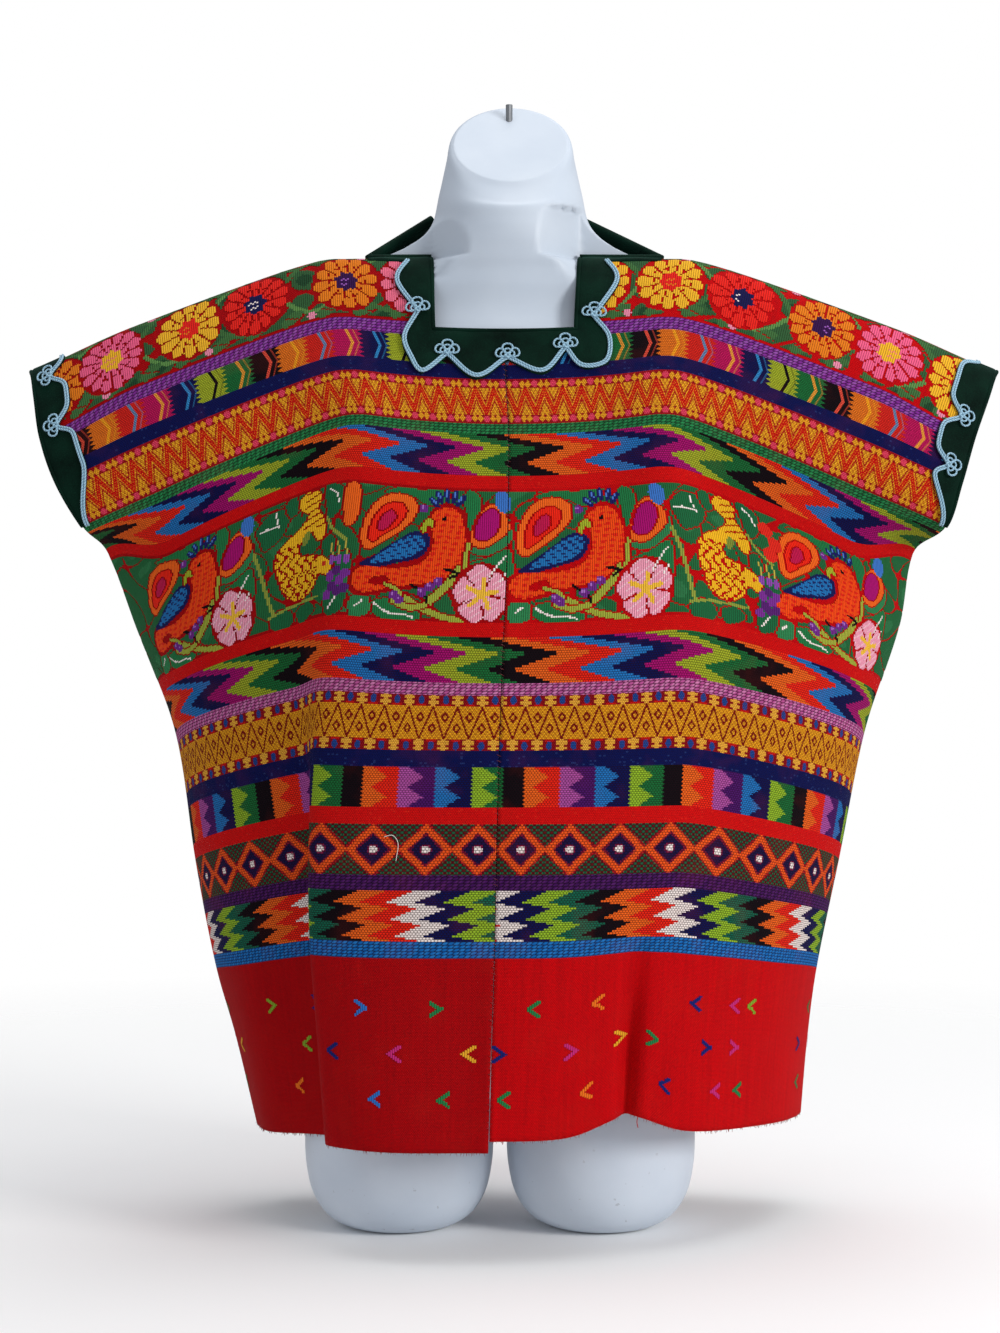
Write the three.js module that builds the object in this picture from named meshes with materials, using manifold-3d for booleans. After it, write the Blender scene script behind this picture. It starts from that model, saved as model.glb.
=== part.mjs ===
// Huipil tunic on a torso dress form, in millimetres, +Z up, the wearer's front towards -Y.
// Two woven panels, each one length folded at the shoulder, meet at a centre seam front and back.
// Each panel closes on itself at a side seam below the armhole. Velvet trims edge the neck and armholes.
import * as THREE from "three";
import { mergeVertices } from "three/addons/utils/BufferGeometryUtils.js";
import Module from "manifold-3d";

const wasm = await Module();
wasm.setup();

// Driving dimensions of the cloth
const PANEL_WIDTH = 370; // centre seam to armhole edge, along the cloth
const ARMHOLE_DEPTH = 185; // shoulder fold to the top of the side seam
const HEM_LEFT = 664; // shoulder fold to hem, left panel
const HEM_RIGHT = 656;
const WALL = 2; // heavy brocaded cotton
const SEAM_GAP = 0.5; // between the panels at the centre seam
const NECK_HALF = 56; // half width of the square cut
const NECK_DROP = 67; // shoulder fold to the square's lower edge
const SLIT_LEFT = 106; // the shoulder slit's ends, from the centre seam
const SLIT_RIGHT = 118;
const SLIT_HALF_GAP = 2.5; // each slit edge stands back from the fold line
const FLAP_RISE = 36; // how high the back neck corners stand up
const FLAP_LEAN = 30;

// Velvet trim and cord
const TRIM_GAP = 1.2;
const TRIM_THICK = 1.2;
const CORD_GAP = 0.7;
const BACK_CORD_LIFT = 0.9; // the back cord crosses the sharper bends of the standing corners
const CORD_WIDE = 2.6;
const CORD_HIGH = 1.6;
const KNOT_RADIUS = 5.5; // mean radius of a three-loop cord knot
const KNOT_LOBE = 2.6;
const BINDING = 11; // velvet width along the shoulder slit
const ARM_TRIM_END = 139; // how far down the armhole the velvet runs
const ARM_TRIM_WIDE = 27;
const ARM_NOTCH = 11; // depth of each notch between two scallops
const ARM_NOTCH_WIDE = 7;

// Rows of numbers as objects, by the names of their columns
function table(columns, ...rows) {
  const names = columns.split(" ");
  return rows.map((row) => Object.fromEntries(names.map((name, k) => [name, row[k]])));
}

// Drape of the cloth, a row for each section across it. drop is the cloth length below the shoulder fold.
// height, front, back: the flat middle, and rise: how much higher the back layer lies there.
// seam: where the centre seam is. left, right: reach of the cloth's edge.
// edge: depth of that edge, front layer (the back layer mirrors it above the side seam). turn: degrees the
// section turns from middle to edge. slope, tip: how the section falls away outwards, and at its edge.
const SECTIONS = table(
  "drop height front back rise seam left right edge turn slope tip",
  [0, 724, -20, -20, 0, 3, 354, 375, 0, 25, 0.36, 4],
  [12, 720, -31, -7, 1, 3, 351, 371, -9, 26, 0.36, 5],
  [30, 705, -42, 8, 5, 3, 347, 364, -20, 27, 0.36, 6],
  [62, 676, -55, 32, 11, 3, 340, 351, -34, 28, 0.36, 8],
  [104, 635, -72, 58, 14, 4, 326, 339, -46, 32, 0.36, 2],
  [139, 601, -86, 74, 12, 6, 308, 329, -42, 40, 0.36, -1],
  [185, 558, -100, 88, 8, 6, 296, 312, 2, 66, 0.35, -24],
  [240, 505, -110, 95, 4, 5, 280, 307, 36, 80, 0.3, -12],
  [330, 412, -120, 100, 1, 1, 251, 282, 60, 90, 0.22, 0],
  [432, 309, -124, 104, 0, -2, 237, 264, 72, 90, 0.2, 0],
  [527, 215, -127, 107, 0, -4, 221, 247, 76, 90, 0.15, 0],
  [590, 153, -129, 109, 0, -6, 206, 240, 76, 90, 0.1, 0],
  [664, 79, -131, 112, 0, -8, 190, 234, 76, 90, 0.06, 0],
);
const FLAT_SHOULDER = 130; // the section starts to fall away this far from the centre seam
const FALL_ROUND = 25;
const CENTRE_SAG = 7; // the neck edge hangs a little between the shoulders
const SAG_REACH = 120;

// The deep fold in the left front: the cloth steps back behind a forward ridge.
const STEP_FOLD = {
  at: 125, cloth: 60, hidden: 58, forward: 18, back: 30, recover: 110, from: 190, full: 527,
};

// Softer folds, a row each: middle of the fold at its upper and lower end, and how far it stands out.
const FOLDS = [
  { side: -1, layer: "front", upper: 118, lower: 120, width: 34, from: 60, full: 170, end: 420, out: 6 },
  { side: 1, layer: "front", upper: 112, lower: 150, width: 34, from: 60, full: 180, end: 420, out: 7 },
  { side: 1, layer: "front", upper: 150, lower: 196, width: 26, from: 120, full: 220, end: 520, out: -6 },
  { side: 1, layer: "front", upper: 100, lower: 101, width: 6, from: 470, full: 620, end: 900, out: -9 },
  { side: 1, layer: "front", upper: 122, lower: 106, width: 7, from: 470, full: 600, end: 900, out: -8 },
  { side: -1, layer: "back", upper: 50, lower: 58, width: 24, from: 150, full: 560, end: 900, out: 13 },
  { side: -1, layer: "back", upper: 100, lower: 110, width: 22, from: 170, full: 560, end: 900, out: -15 },
  { side: -1, layer: "back", upper: 150, lower: 165, width: 26, from: 150, full: 520, end: 900, out: 15 },
  { side: -1, layer: "back", upper: 205, lower: 225, width: 24, from: 200, full: 560, end: 900, out: -14 },
  { side: -1, layer: "back", upper: 262, lower: 285, width: 26, from: 220, full: 520, end: 900, out: 10 },
  { side: 1, layer: "back", upper: 42, lower: 52, width: 22, from: 170, full: 560, end: 900, out: -12 },
  { side: 1, layer: "back", upper: 90, lower: 104, width: 25, from: 140, full: 540, end: 900, out: 15 },
  { side: 1, layer: "back", upper: 146, lower: 166, width: 24, from: 190, full: 560, end: 900, out: -15 },
  { side: 1, layer: "back", upper: 205, lower: 232, width: 28, from: 160, full: 520, end: 900, out: 13 },
  { side: 1, layer: "back", upper: 262, lower: 290, width: 22, from: 240, full: 560, end: 900, out: -9 },
];
// The hem is drawn up under the right front pleat.
const PINCH = { at: 104, width: 32, rise: 14, from: 480 };

// Stations of the woven panels' grid
const ROUNDING = 1e-6;
const COLUMNS_LEFT = [0, 28, 56, 82, 106, 125, 138, 153, 170, 187, 215, 250, 290, 322, 346, 370];
const COLUMNS_RIGHT = [0, 28, 56, 84, 95, 103, 118, 132, 158, 187, 215, 250, 290, 322, 346, 370];
const ROWS = [
  0, 7, 15, 25, 37, 51, 67, 85, 104, 122, 139, 154, 170, 185, 208, 234, 262, 292, 324, 356, 390, 424, 458,
  492, 527, 562, 598, 630, 656,
];

// Scallops of the front neck trim, a row for each lobe and notch, across from the centre seam and down
const NECK_SCALLOPS = [
  { across: -76, down: 13 }, { across: -85, down: 32 }, { across: -69, down: 56, knot: true },
  { across: -81, down: 76 }, { across: -77, down: 92 }, { across: -68, down: 103 },
  { across: -47, down: 88, knot: true }, { across: -24, down: 105 }, { across: 2, down: 90, knot: true },
  { across: 30, down: 101 }, { across: 49, down: 83, knot: true }, { across: 62, down: 98 },
  { across: 82, down: 96 }, { across: 84, down: 77 }, { across: 71, down: 60, knot: true },
  { across: 87, down: 32 }, { across: 78, down: 13 },
];
const ARM_NOTCHES = { left: [20, 60], right: [2, 52, 95] };

// Driving dimensions of the dress form: a row for each ring of the torso
// tilt leans the ring up towards the back, for the slanted neck cap.
// core is the half width of the round neck inside a wider ring, ridge the depth of the ring's two ends.
const TORSO_RINGS = [
  { height: 104, wide: 112, deep: 58, middle: 0 },
  { height: 112, wide: 122, deep: 66, middle: 0 },
  { height: 150, wide: 132, deep: 76, middle: 0 },
  { height: 220, wide: 137, deep: 84, middle: 1 },
  { height: 300, wide: 128, deep: 80, middle: 0 },
  { height: 390, wide: 114, deep: 74, middle: -4 },
  { height: 470, wide: 124, deep: 82, middle: -10 },
  { height: 540, wide: 142, deep: 84, middle: -8 },
  { height: 600, wide: 164, deep: 74, middle: -4, core: 130 },
  { height: 650, wide: 182, deep: 57, middle: -6, core: 100 },
  { height: 685, wide: 190, deep: 39, middle: -8, core: 80 },
  { height: 703, wide: 184, deep: 41, middle: -8, ridge: -13, core: 62 },
  { height: 715, wide: 162, deep: 42, middle: -8, ridge: -16, core: 52, x: 4 },
  { height: 722, wide: 104, deep: 44, middle: -8, ridge: -19, core: 50, x: 6 },
  { height: 724.5, wide: 70, deep: 46, middle: -6, ridge: -19, core: 50, x: 7 },
  { height: 733, wide: 70, deep: 49, middle: -5, ridge: -15, core: 53, x: 7.5 },
  { height: 745, wide: 59, deep: 52, middle: -3, tilt: 0.02, x: 8 },
  { height: 776, wide: 54, deep: 51, middle: 0, tilt: 0.35, x: 8 },
  { height: 800, wide: 48.5, deep: 46, middle: 0, tilt: 0.8, x: 8 },
  { height: 812, wide: 46, deep: 38, middle: 0, tilt: 1.0, x: 8 },
  { height: 814.5, wide: 43, deep: 35, middle: 0, tilt: 1.0, x: 8 },
];
const FORM_GAP = 0.9; // between the cloth and the shoulders that it rests on
const SEAT_END = 262; // the form is shaped to the cloth down to this drop
const SEAM_CLEAR = 1.2; // the cut also clears the centre seam
const SEAT_CUT = 25; // how far outside the cloth the form is cut away
const RING_SIDES = 32;
const STUB_SIDES = 24;
const STUB = { centre: 76, wide: 71, deep: 68, top: 150 };
const STUB_RINGS = [
  { height: 0, share: 0.5 }, { height: 2.5, share: 0.62 }, { height: 10, share: 0.78 },
  { height: 24, share: 0.91 }, { height: 46, share: 0.985 }, { height: 75, share: 1 },
];
const SHANK = { radius: 2.6, x: 7, y: 24, high: 11, sides: 12 };

// A smooth step from 0 to 1
function smooth(x) {
  const s = Math.min(1, Math.max(0, x));
  return s * s * (3 - 2 * s);
}

// Every column of the section table at one drop, by a cubic whose slope at a row is that of its neighbours
function sectionAt(drop) {
  const last = SECTIONS.length - 1;
  let i = 0;
  while (i < last - 1 && drop > SECTIONS[i + 1].drop) i += 1;
  const span = SECTIONS[i + 1].drop - SECTIONS[i].drop;
  const s = (drop - SECTIONS[i].drop) / span;
  const section = {};
  for (const column of Object.keys(SECTIONS[0])) {
    const slope = (k) => {
      const low = SECTIONS[Math.max(0, k - 1)];
      const high = SECTIONS[Math.min(last, k + 1)];
      return ((high[column] - low[column]) / (high.drop - low.drop)) * span;
    };
    const a = SECTIONS[i][column];
    const b = SECTIONS[i + 1][column];
    const h = s * s * (3 - 2 * s);
    section[column] =
      a * (1 - h) + b * h + slope(i) * s * (1 - s) * (1 - s) - slope(i + 1) * s * s * (1 - s);
  }
  return section;
}

// A point at a share of the length of an elliptical arc, as shares of its reach and its depth
function alongArc(reach, depth, turn, share) {
  const steps = 40;
  const at = (k) => {
    const angle = (turn * k) / steps;
    return [Math.sin(angle) / Math.sin(turn), (1 - Math.cos(angle)) / (1 - Math.cos(turn))];
  };
  const lengths = [0];
  for (let k = 1; k <= steps; k += 1) {
    const [x0, y0] = at(k - 1);
    const [x1, y1] = at(k);
    lengths.push(lengths[k - 1] + Math.hypot((x1 - x0) * reach, (y1 - y0) * depth));
  }
  const wanted = share * lengths[steps];
  let k = 0;
  while (k < steps - 1 && lengths[k + 1] < wanted) k += 1;
  return at(k + (wanted - lengths[k]) / (lengths[k + 1] - lengths[k]));
}

// How far the section has fallen below its flat middle
function fallAt(section, across) {
  const past = Math.max(0, across - FLAT_SHOULDER);
  return section.slope * past * past / (past + FALL_ROUND) + section.tip * smooth((across - 290) / 80);
}

// A point of the cloth's middle surface: side -1 or 1, layer front or back,
// across from the centre seam and drop below the shoulder fold, both along the cloth
function clothPoint(side, layer, across, drop) {
  const s = sectionAt(drop);
  const front = layer === "front";
  const seam = s.seam + side * SEAM_GAP * 0.5;
  const reach = side < 0 ? s.left + seam : s.right - seam;
  const mid = front ? s.front : s.back;
  const edge = front || drop >= ARMHOLE_DEPTH ? s.edge : -s.edge;
  let length = across;
  let whole = PANEL_WIDTH;
  let out = 0;
  if (front && side < 0) {
    const open = smooth((drop - STEP_FOLD.from) / (STEP_FOLD.full - STEP_FOLD.from));
    const behind = smooth((across - STEP_FOLD.at) / STEP_FOLD.cloth);
    length = across - STEP_FOLD.hidden * open * behind;
    whole = PANEL_WIDTH - STEP_FOLD.hidden * open;
    const ahead = smooth(across / STEP_FOLD.at) * (1 - behind);
    const settled = smooth((across - STEP_FOLD.at - STEP_FOLD.cloth) / STEP_FOLD.recover);
    out += open * (STEP_FOLD.forward * ahead - STEP_FOLD.back * behind * (1 - settled));
  }
  for (const fold of FOLDS) {
    if (fold.side !== side || fold.layer !== layer) continue;
    const way = smooth((drop - fold.from) / (fold.full - fold.from));
    const fade = 1 - smooth((drop - fold.full) / (fold.end - fold.full));
    const middle = fold.upper + (fold.lower - fold.upper) * Math.min(1, drop / HEM_RIGHT);
    out += fold.out * way * fade * Math.exp(-(((across - middle) / fold.width) ** 2));
  }
  const [ax, ay] = alongArc(reach, Math.abs(edge - mid) + 1, (s.turn * Math.PI) / 180, length / whole);
  const sag = CENTRE_SAG * Math.max(0, 1 - (across / SAG_REACH) ** 2) * (1 - smooth((drop - 240) / 200));
  let x = seam + side * reach * ax;
  let y = mid + (edge - mid) * ay + (front ? -out : out);
  let z = s.height - fallAt(s, across) - sag * smooth((drop - 20) / 60);
  if (!front) z += s.rise * (1 - ay);
  if (front && side > 0) {
    const pinch = Math.exp(-(((across - PINCH.at) / PINCH.width) ** 2));
    z += PINCH.rise * pinch * smooth((drop - PINCH.from) / (HEM_RIGHT - PINCH.from));
  }
  const slitEnd = side < 0 ? SLIT_LEFT : SLIT_RIGHT;
  if (!front && across < slitEnd && drop < NECK_DROP) {
    const lift = Math.min(1, (slitEnd - across) / (slitEnd - NECK_HALF)) * smooth(1 - drop / NECK_DROP);
    z += FLAP_RISE * lift;
    y += FLAP_LEAN * lift;
  }
  return new THREE.Vector3(x, y, z);
}

// One woven panel: its vertices with their normals, and its quads
function makePanel(side) {
  const columns = side < 0 ? COLUMNS_LEFT : COLUMNS_RIGHT;
  const slitEnd = side < 0 ? SLIT_LEFT : SLIT_RIGHT;
  const hem = side < 0 ? HEM_LEFT : HEM_RIGHT;
  const rows = ROWS.map((row, j) => (j === ROWS.length - 1 ? hem : row));
  const vertices = [];
  const keys = new Map();
  const indexOf = (layer, i, j) => {
    const across = columns[i];
    const onFold = j === 0 && across >= slitEnd;
    const onSide = i === columns.length - 1 && rows[j] >= ARMHOLE_DEPTH;
    const shared = onFold || onSide;
    const key = (shared ? "both" : layer) + " " + i + " " + j;
    if (!keys.has(key)) {
      keys.set(key, vertices.length);
      const drop = j === 0 && !onFold ? SLIT_HALF_GAP : rows[j];
      vertices.push(clothPoint(side, shared ? "front" : layer, across, drop));
    }
    return keys.get(key);
  };
  const quads = [];
  for (const layer of ["front", "back"]) {
    for (let j = 0; j < rows.length - 1; j += 1) {
      for (let i = 0; i < columns.length - 1; i += 1) {
        if (rows[j] < NECK_DROP && columns[i] < NECK_HALF) continue;
        const quad = [
          indexOf(layer, i, j), indexOf(layer, i, j + 1),
          indexOf(layer, i + 1, j + 1), indexOf(layer, i + 1, j),
        ];
        if (side > 0 !== (layer === "front")) quad.reverse();
        quads.push(Object.assign(quad, { drop: rows[j] }));
      }
    }
  }
  return { side, columns, rows, vertices, quads, indexOf, normals: normalsOf(vertices, quads) };
}

// Unit normals at the vertices, from the faces round them
function normalsOf(vertices, quads) {
  const normals = vertices.map(() => new THREE.Vector3());
  for (const quad of quads) {
    const across = vertices[quad[2]].clone().sub(vertices[quad[0]]);
    const along = vertices[quad[3]].clone().sub(vertices[quad[1]]);
    const face = across.cross(along);
    for (const k of quad) normals[k].add(face);
  }
  return normals.map((normal) => normal.normalize());
}

// A closed wall between two offsets of an open quad surface, with rims along its free edges
function wallOf(vertices, normals, quads, inner, outer) {
  const count = vertices.length;
  const points = [];
  for (const offset of [outer, inner]) {
    vertices.forEach((vertex, k) => points.push(vertex.clone().addScaledVector(normals[k], offset)));
  }
  const triangles = [];
  const edges = new Map();
  for (const [a, b, c, d] of quads) {
    triangles.push([a, b, c], [a, c, d]);
    triangles.push([a + count, c + count, b + count], [a + count, d + count, c + count]);
    for (const [from, to] of [[a, b], [b, c], [c, d], [d, a]]) {
      if (!edges.delete(to + " " + from)) edges.set(from + " " + to, [from, to]);
    }
  }
  for (const [from, to] of edges.values()) {
    triangles.push([from, from + count, to + count], [from, to + count, to]);
  }
  return { points, triangles };
}

// The same closed mesh with its faces pointing out, told by the sign of its volume
function facingOut({ points, triangles }) {
  const volume = triangles.reduce((sum, [a, b, c]) => {
    const across = new THREE.Vector3().crossVectors(points[b], points[c]);
    return sum + points[a].dot(across);
  }, 0);
  return { points, triangles: volume > 0 ? triangles : triangles.map(([a, b, c]) => [a, c, b]) };
}

// A three.js geometry from points and triangles
function geometryOf({ points, triangles }) {
  const geometry = new THREE.BufferGeometry().setFromPoints(points);
  geometry.setIndex(triangles.flat());
  geometry.computeVertexNormals();
  return geometry;
}

// A closed mesh as a solid for joining and cutting
function solidOf(shape) {
  const geometry = geometryOf(shape);
  geometry.deleteAttribute("normal");
  const merged = mergeVertices(geometry, 1e-4);
  return new wasm.Manifold(new wasm.Mesh({
    numProp: 3,
    vertProperties: merged.attributes.position.array,
    triVerts: new Uint32Array(merged.index.array),
  }));
}

// A solid's mesh as a three.js geometry
function geometryFrom(solid) {
  const mesh = solid.getMesh();
  const geometry = new THREE.BufferGeometry();
  geometry.setAttribute("position", new THREE.BufferAttribute(mesh.vertProperties, 3));
  geometry.setIndex(new THREE.BufferAttribute(mesh.triVerts, 1));
  return geometry;
}

// Joins closed meshes into one
function joined(shapes) {
  return geometryFrom(shapes.map(solidOf).reduce((all, solid) => all.add(solid)));
}

// A point moved out from a panel's flat faces. across is signed: minus on the left panel.
function onPanel(layer, across, drop, offset) {
  const panel = across < 0 ? panels.left : panels.right;
  const reach = Math.min(PANEL_WIDTH, Math.abs(across));
  const down = Math.max(drop, 0);
  let i = 0;
  while (i < panel.columns.length - 2 && reach + ROUNDING >= panel.columns[i + 1]) i += 1;
  let j = 0;
  while (j < panel.rows.length - 2 && down + ROUNDING >= panel.rows[j + 1]) j += 1;
  const p = (reach - panel.columns[i]) / (panel.columns[i + 1] - panel.columns[i]);
  const q = (down - panel.rows[j]) / (panel.rows[j + 1] - panel.rows[j]);
  const cells = [[i, j], [i + 1, j], [i + 1, j + 1], [i, j + 1]];
  const corners = cells.map(([column, row]) => panel.indexOf(layer, column, row));
  const shares = p >= q ? [1 - p, p - q, q, 0] : [1 - q, 0, p, q - p];
  const point = new THREE.Vector3();
  corners.forEach((k, n) => {
    point.addScaledVector(panel.vertices[k], shares[n]);
    point.addScaledVector(panel.normals[k], shares[n] * offset);
  });
  return point;
}

// A strip of velvet over a panel: a grid of cloth places, each with its layer
function trimOf(grid) {
  const inner = WALL / 2 + TRIM_GAP;
  const wide = grid[0].length;
  const low = [];
  const high = [];
  for (const row of grid) {
    for (const place of row) {
      low.push(onPanel(place.layer, place.across, place.drop, inner));
      high.push(onPanel(place.layer, place.across, place.drop, inner + TRIM_THICK));
    }
  }
  const quads = [];
  for (let j = 0; j < grid.length - 1; j += 1) {
    for (let i = 0; i < wide - 1; i += 1) {
      quads.push([j * wide + i, (j + 1) * wide + i, (j + 1) * wide + i + 1, j * wide + i + 1]);
    }
  }
  const lift = high.map((point, k) => point.clone().sub(low[k]));
  return facingOut(wallOf(low, lift, quads, 0, 1));
}

// A point at a share of the way along a line of cloth places
function alongPath(path, share) {
  const lengths = [0];
  for (let k = 1; k < path.length; k += 1) {
    const step = Math.hypot(path[k].across - path[k - 1].across, path[k].drop - path[k - 1].drop);
    lengths.push(lengths[k - 1] + step);
  }
  const wanted = share * lengths[path.length - 1];
  let k = 0;
  while (k < path.length - 2 && lengths[k + 1] < wanted) k += 1;
  const s = (wanted - lengths[k]) / (lengths[k + 1] - lengths[k]);
  return {
    across: path[k].across + (path[k + 1].across - path[k].across) * s,
    drop: path[k].drop + (path[k + 1].drop - path[k].drop) * s,
  };
}

const scallops = NECK_SCALLOPS.map((row) => ({ across: row.across, drop: row.down, knot: row.knot }));
const low = NECK_SCALLOPS.findIndex((row) => row.down > 100);
const high = NECK_SCALLOPS.findLastIndex((row) => row.down > 95 && row.across > NECK_HALF);

// The neck trim of one layer: between the cut edge and the scallops, in five stretches
function neckTrim(layer) {
  const top = SLIT_HALF_GAP + 0.5;
  const corner = { across: NECK_HALF, drop: NECK_DROP };
  const place = (across, drop) => ({ across, drop });
  const leftEnd = -SLIT_LEFT + 1;
  const rightEnd = SLIT_RIGHT - 1;
  const stretches = [
    [[place(leftEnd, top), place(-NECK_HALF, top)], [place(leftEnd, BINDING), scallops[0]], 4],
    [[place(-NECK_HALF, top), place(-corner.across, corner.drop)], scallops.slice(0, low + 1), 12],
    [[place(-corner.across, corner.drop), corner], scallops.slice(low, high + 1), 22],
    [[corner, place(NECK_HALF, top)], scallops.slice(high), 12],
    [[place(NECK_HALF, top), place(rightEnd, top)], [scallops.at(-1), place(rightEnd, BINDING)], 4],
  ];
  const grid = [];
  stretches.forEach(([edge, outline, steps], n) => {
    for (let k = n ? 1 : 0; k <= steps; k += 1) {
      const from = alongPath(edge, k / steps);
      const to = alongPath(outline, k / steps);
      grid.push([0, 0.5, 1].map((share) => ({
        layer,
        across: from.across + (to.across - from.across) * share,
        drop: from.drop + (to.drop - from.drop) * share,
      })));
    }
  });
  return trimOf(grid);
}

// Width of an armhole's velvet at a drop: scallops between its notches, narrowing to its end
function armTrimWidth(notches, drop) {
  const notch = Math.max(...notches.map((at) => Math.exp(-(((drop - at) / ARM_NOTCH_WIDE) ** 2))));
  const narrow = smooth((drop - 98) / (ARM_TRIM_END - 98));
  return (ARM_TRIM_WIDE - ARM_NOTCH * notch) * (1 - 0.75 * narrow);
}

// Drops of the armhole trim's stations: the panel's rows and the places halfway between them
function armDrops() {
  const rows = ROWS.filter((row) => row < ARM_TRIM_END);
  const drops = rows.flatMap((row, k) => (k ? [(row + rows[k - 1]) / 2, row] : [row]));
  return [...drops, ARM_TRIM_END];
}

// The velvet round one armhole, over the shoulder fold from front to back
function armTrim(side, notches) {
  const drops = armDrops();
  const line = [
    ...drops.toReversed().map((drop) => ({ layer: "front", drop })),
    ...drops.slice(1).map((drop) => ({ layer: "back", drop })),
  ];
  const grid = line.map(({ layer, drop }) => {
    const width = armTrimWidth(notches, drop);
    return [0.4, Math.min(17, width * 0.6), width].map((inset) => ({
      layer, drop, across: side * (PANEL_WIDTH - inset),
    }));
  });
  return trimOf(grid);
}

// How far a cord's underside stands off the middle of the cloth
function cordBase(layer) {
  return WALL / 2 + TRIM_GAP + TRIM_THICK + CORD_GAP + (layer === "back" ? BACK_CORD_LIFT : 0);
}

// A flat cord laid on the velvet along a line of cloth places, as a closed four-sided bar
function cordBar(line) {
  const lifted = (up) => line.map(({ layer, across, drop }) =>
    onPanel(layer, across, drop, cordBase(layer) + up));
  const low = lifted(0);
  const high = lifted(CORD_HIGH);
  const points = [];
  low.forEach((point, k) => {
    const ahead = low[Math.min(k + 1, low.length - 1)].clone().sub(low[Math.max(k - 1, 0)]);
    const up = high[k].clone().sub(point);
    const aside = ahead.cross(up).normalize().multiplyScalar(CORD_WIDE / 2);
    points.push(point.clone().sub(aside), point.clone().add(aside));
    points.push(high[k].clone().add(aside), high[k].clone().sub(aside));
  });
  const triangles = [];
  for (let k = 0; k < low.length - 1; k += 1) {
    for (let n = 0; n < 4; n += 1) {
      const a = k * 4 + n;
      const b = k * 4 + ((n + 1) % 4);
      triangles.push([a, b, b + 4], [a, b + 4, a + 4]);
    }
  }
  const last = (low.length - 1) * 4;
  triangles.push([0, 2, 1], [0, 3, 2], [last, last + 1, last + 2], [last, last + 2, last + 3]);
  return facingOut({ points, triangles });
}

// A three-loop knot as a flat plate with three lobes
function knotPlate(place) {
  const base = cordBase(place.layer);
  const sides = 18;
  const points = [];
  for (const offset of [base, base + CORD_HIGH + 0.4]) {
    for (let k = 0; k < sides; k += 1) {
      const angle = (k * 2 * Math.PI) / sides;
      const radius = KNOT_RADIUS + KNOT_LOBE * Math.cos(3 * angle + Math.PI / 2);
      const across = place.across + radius * Math.cos(angle);
      const drop = Math.max(0.5, place.drop + radius * Math.sin(angle));
      points.push(onPanel(place.layer, across, drop, offset));
    }
  }
  for (const offset of [base, base + CORD_HIGH + 0.4]) {
    points.push(onPanel(place.layer, place.across, place.drop, offset));
  }
  const triangles = [];
  for (let k = 0; k < sides; k += 1) {
    const next = (k + 1) % sides;
    triangles.push([k, next, next + sides], [k, next + sides, k + sides]);
    triangles.push([2 * sides, next, k], [2 * sides + 1, k + sides, next + sides]);
  }
  return facingOut({ points, triangles });
}

// The cord of the neck's scallops in one layer, with its knots
function neckCord(layer) {
  const line = [];
  for (let k = 0; k <= 64; k += 1) {
    const at = alongPath(scallops, k / 64);
    line.push({ layer, across: at.across * 0.975, drop: at.drop * 0.975 });
  }
  const knots = scallops.filter((row) => row.knot && (layer === "front" || row.drop > NECK_DROP));
  return joined([
    cordBar(line),
    ...knots.map((row) => knotPlate({ layer, across: row.across * 0.94, drop: row.drop * 0.92 })),
  ]);
}

// The cord of one armhole's scallops, with its knots
function armCord(side, notches) {
  const drops = armDrops();
  const place = (layer, drop, inset) => ({ layer, drop, across: side * (PANEL_WIDTH - inset) });
  const line = [
    ...drops.toReversed().map((drop) => place("front", drop, armTrimWidth(notches, drop) - 1.6)),
    ...drops.slice(1).map((drop) => place("back", drop, armTrimWidth(notches, drop) - 1.6)),
  ];
  const knots = ["front", "back"].flatMap((layer) =>
    notches.filter((at) => at > 10).map((at) => place(layer, at, ARM_TRIM_WIDE - ARM_NOTCH - 5)));
  return joined([cordBar(line), ...knots.map(knotPlate)]);
}

// A closed loft through rings, each a list of points, with a fan over each end
function loftOf(rings) {
  const sides = rings[0].length;
  const points = rings.flat();
  const triangles = [];
  for (let k = 0; k < rings.length - 1; k += 1) {
    for (let n = 0; n < sides; n += 1) {
      const a = k * sides + n;
      const b = k * sides + ((n + 1) % sides);
      triangles.push([a, b, b + sides], [a, b + sides, a + sides]);
    }
  }
  const middle = (ring) => {
    const sum = ring.reduce((total, point) => total.add(point), new THREE.Vector3());
    return sum.divideScalar(sides);
  };
  points.push(middle(rings[0]), middle(rings.at(-1)));
  const first = points.length - 2;
  const top = (rings.length - 1) * sides;
  for (let n = 0; n < sides; n += 1) {
    const next = (n + 1) % sides;
    triangles.push([first, next, n], [first + 1, top + n, top + next]);
  }
  return facingOut({ points, triangles });
}

// An oval ring at a height, leaning up to the back by its tilt. With a core it is a round neck with
// a shoulder drawn out on each side, whose ends lie at the depth of the ridge.
function ovalRing(ring) {
  const { x = 0, height, wide, deep, middle, sides = RING_SIDES } = ring;
  const { core = wide, ridge = middle, tilt = 0 } = ring;
  return Array.from({ length: sides }, (_, n) => {
    const angle = (n * 2 * Math.PI) / sides;
    const aside = core * Math.cos(angle) + (wide - core) * Math.cos(angle) ** 5;
    const y = deep * Math.sin(angle) + (ridge - middle) * Math.cos(angle) ** 2;
    return new THREE.Vector3(x + aside, middle + y, height + tilt * y);
  });
}

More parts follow.
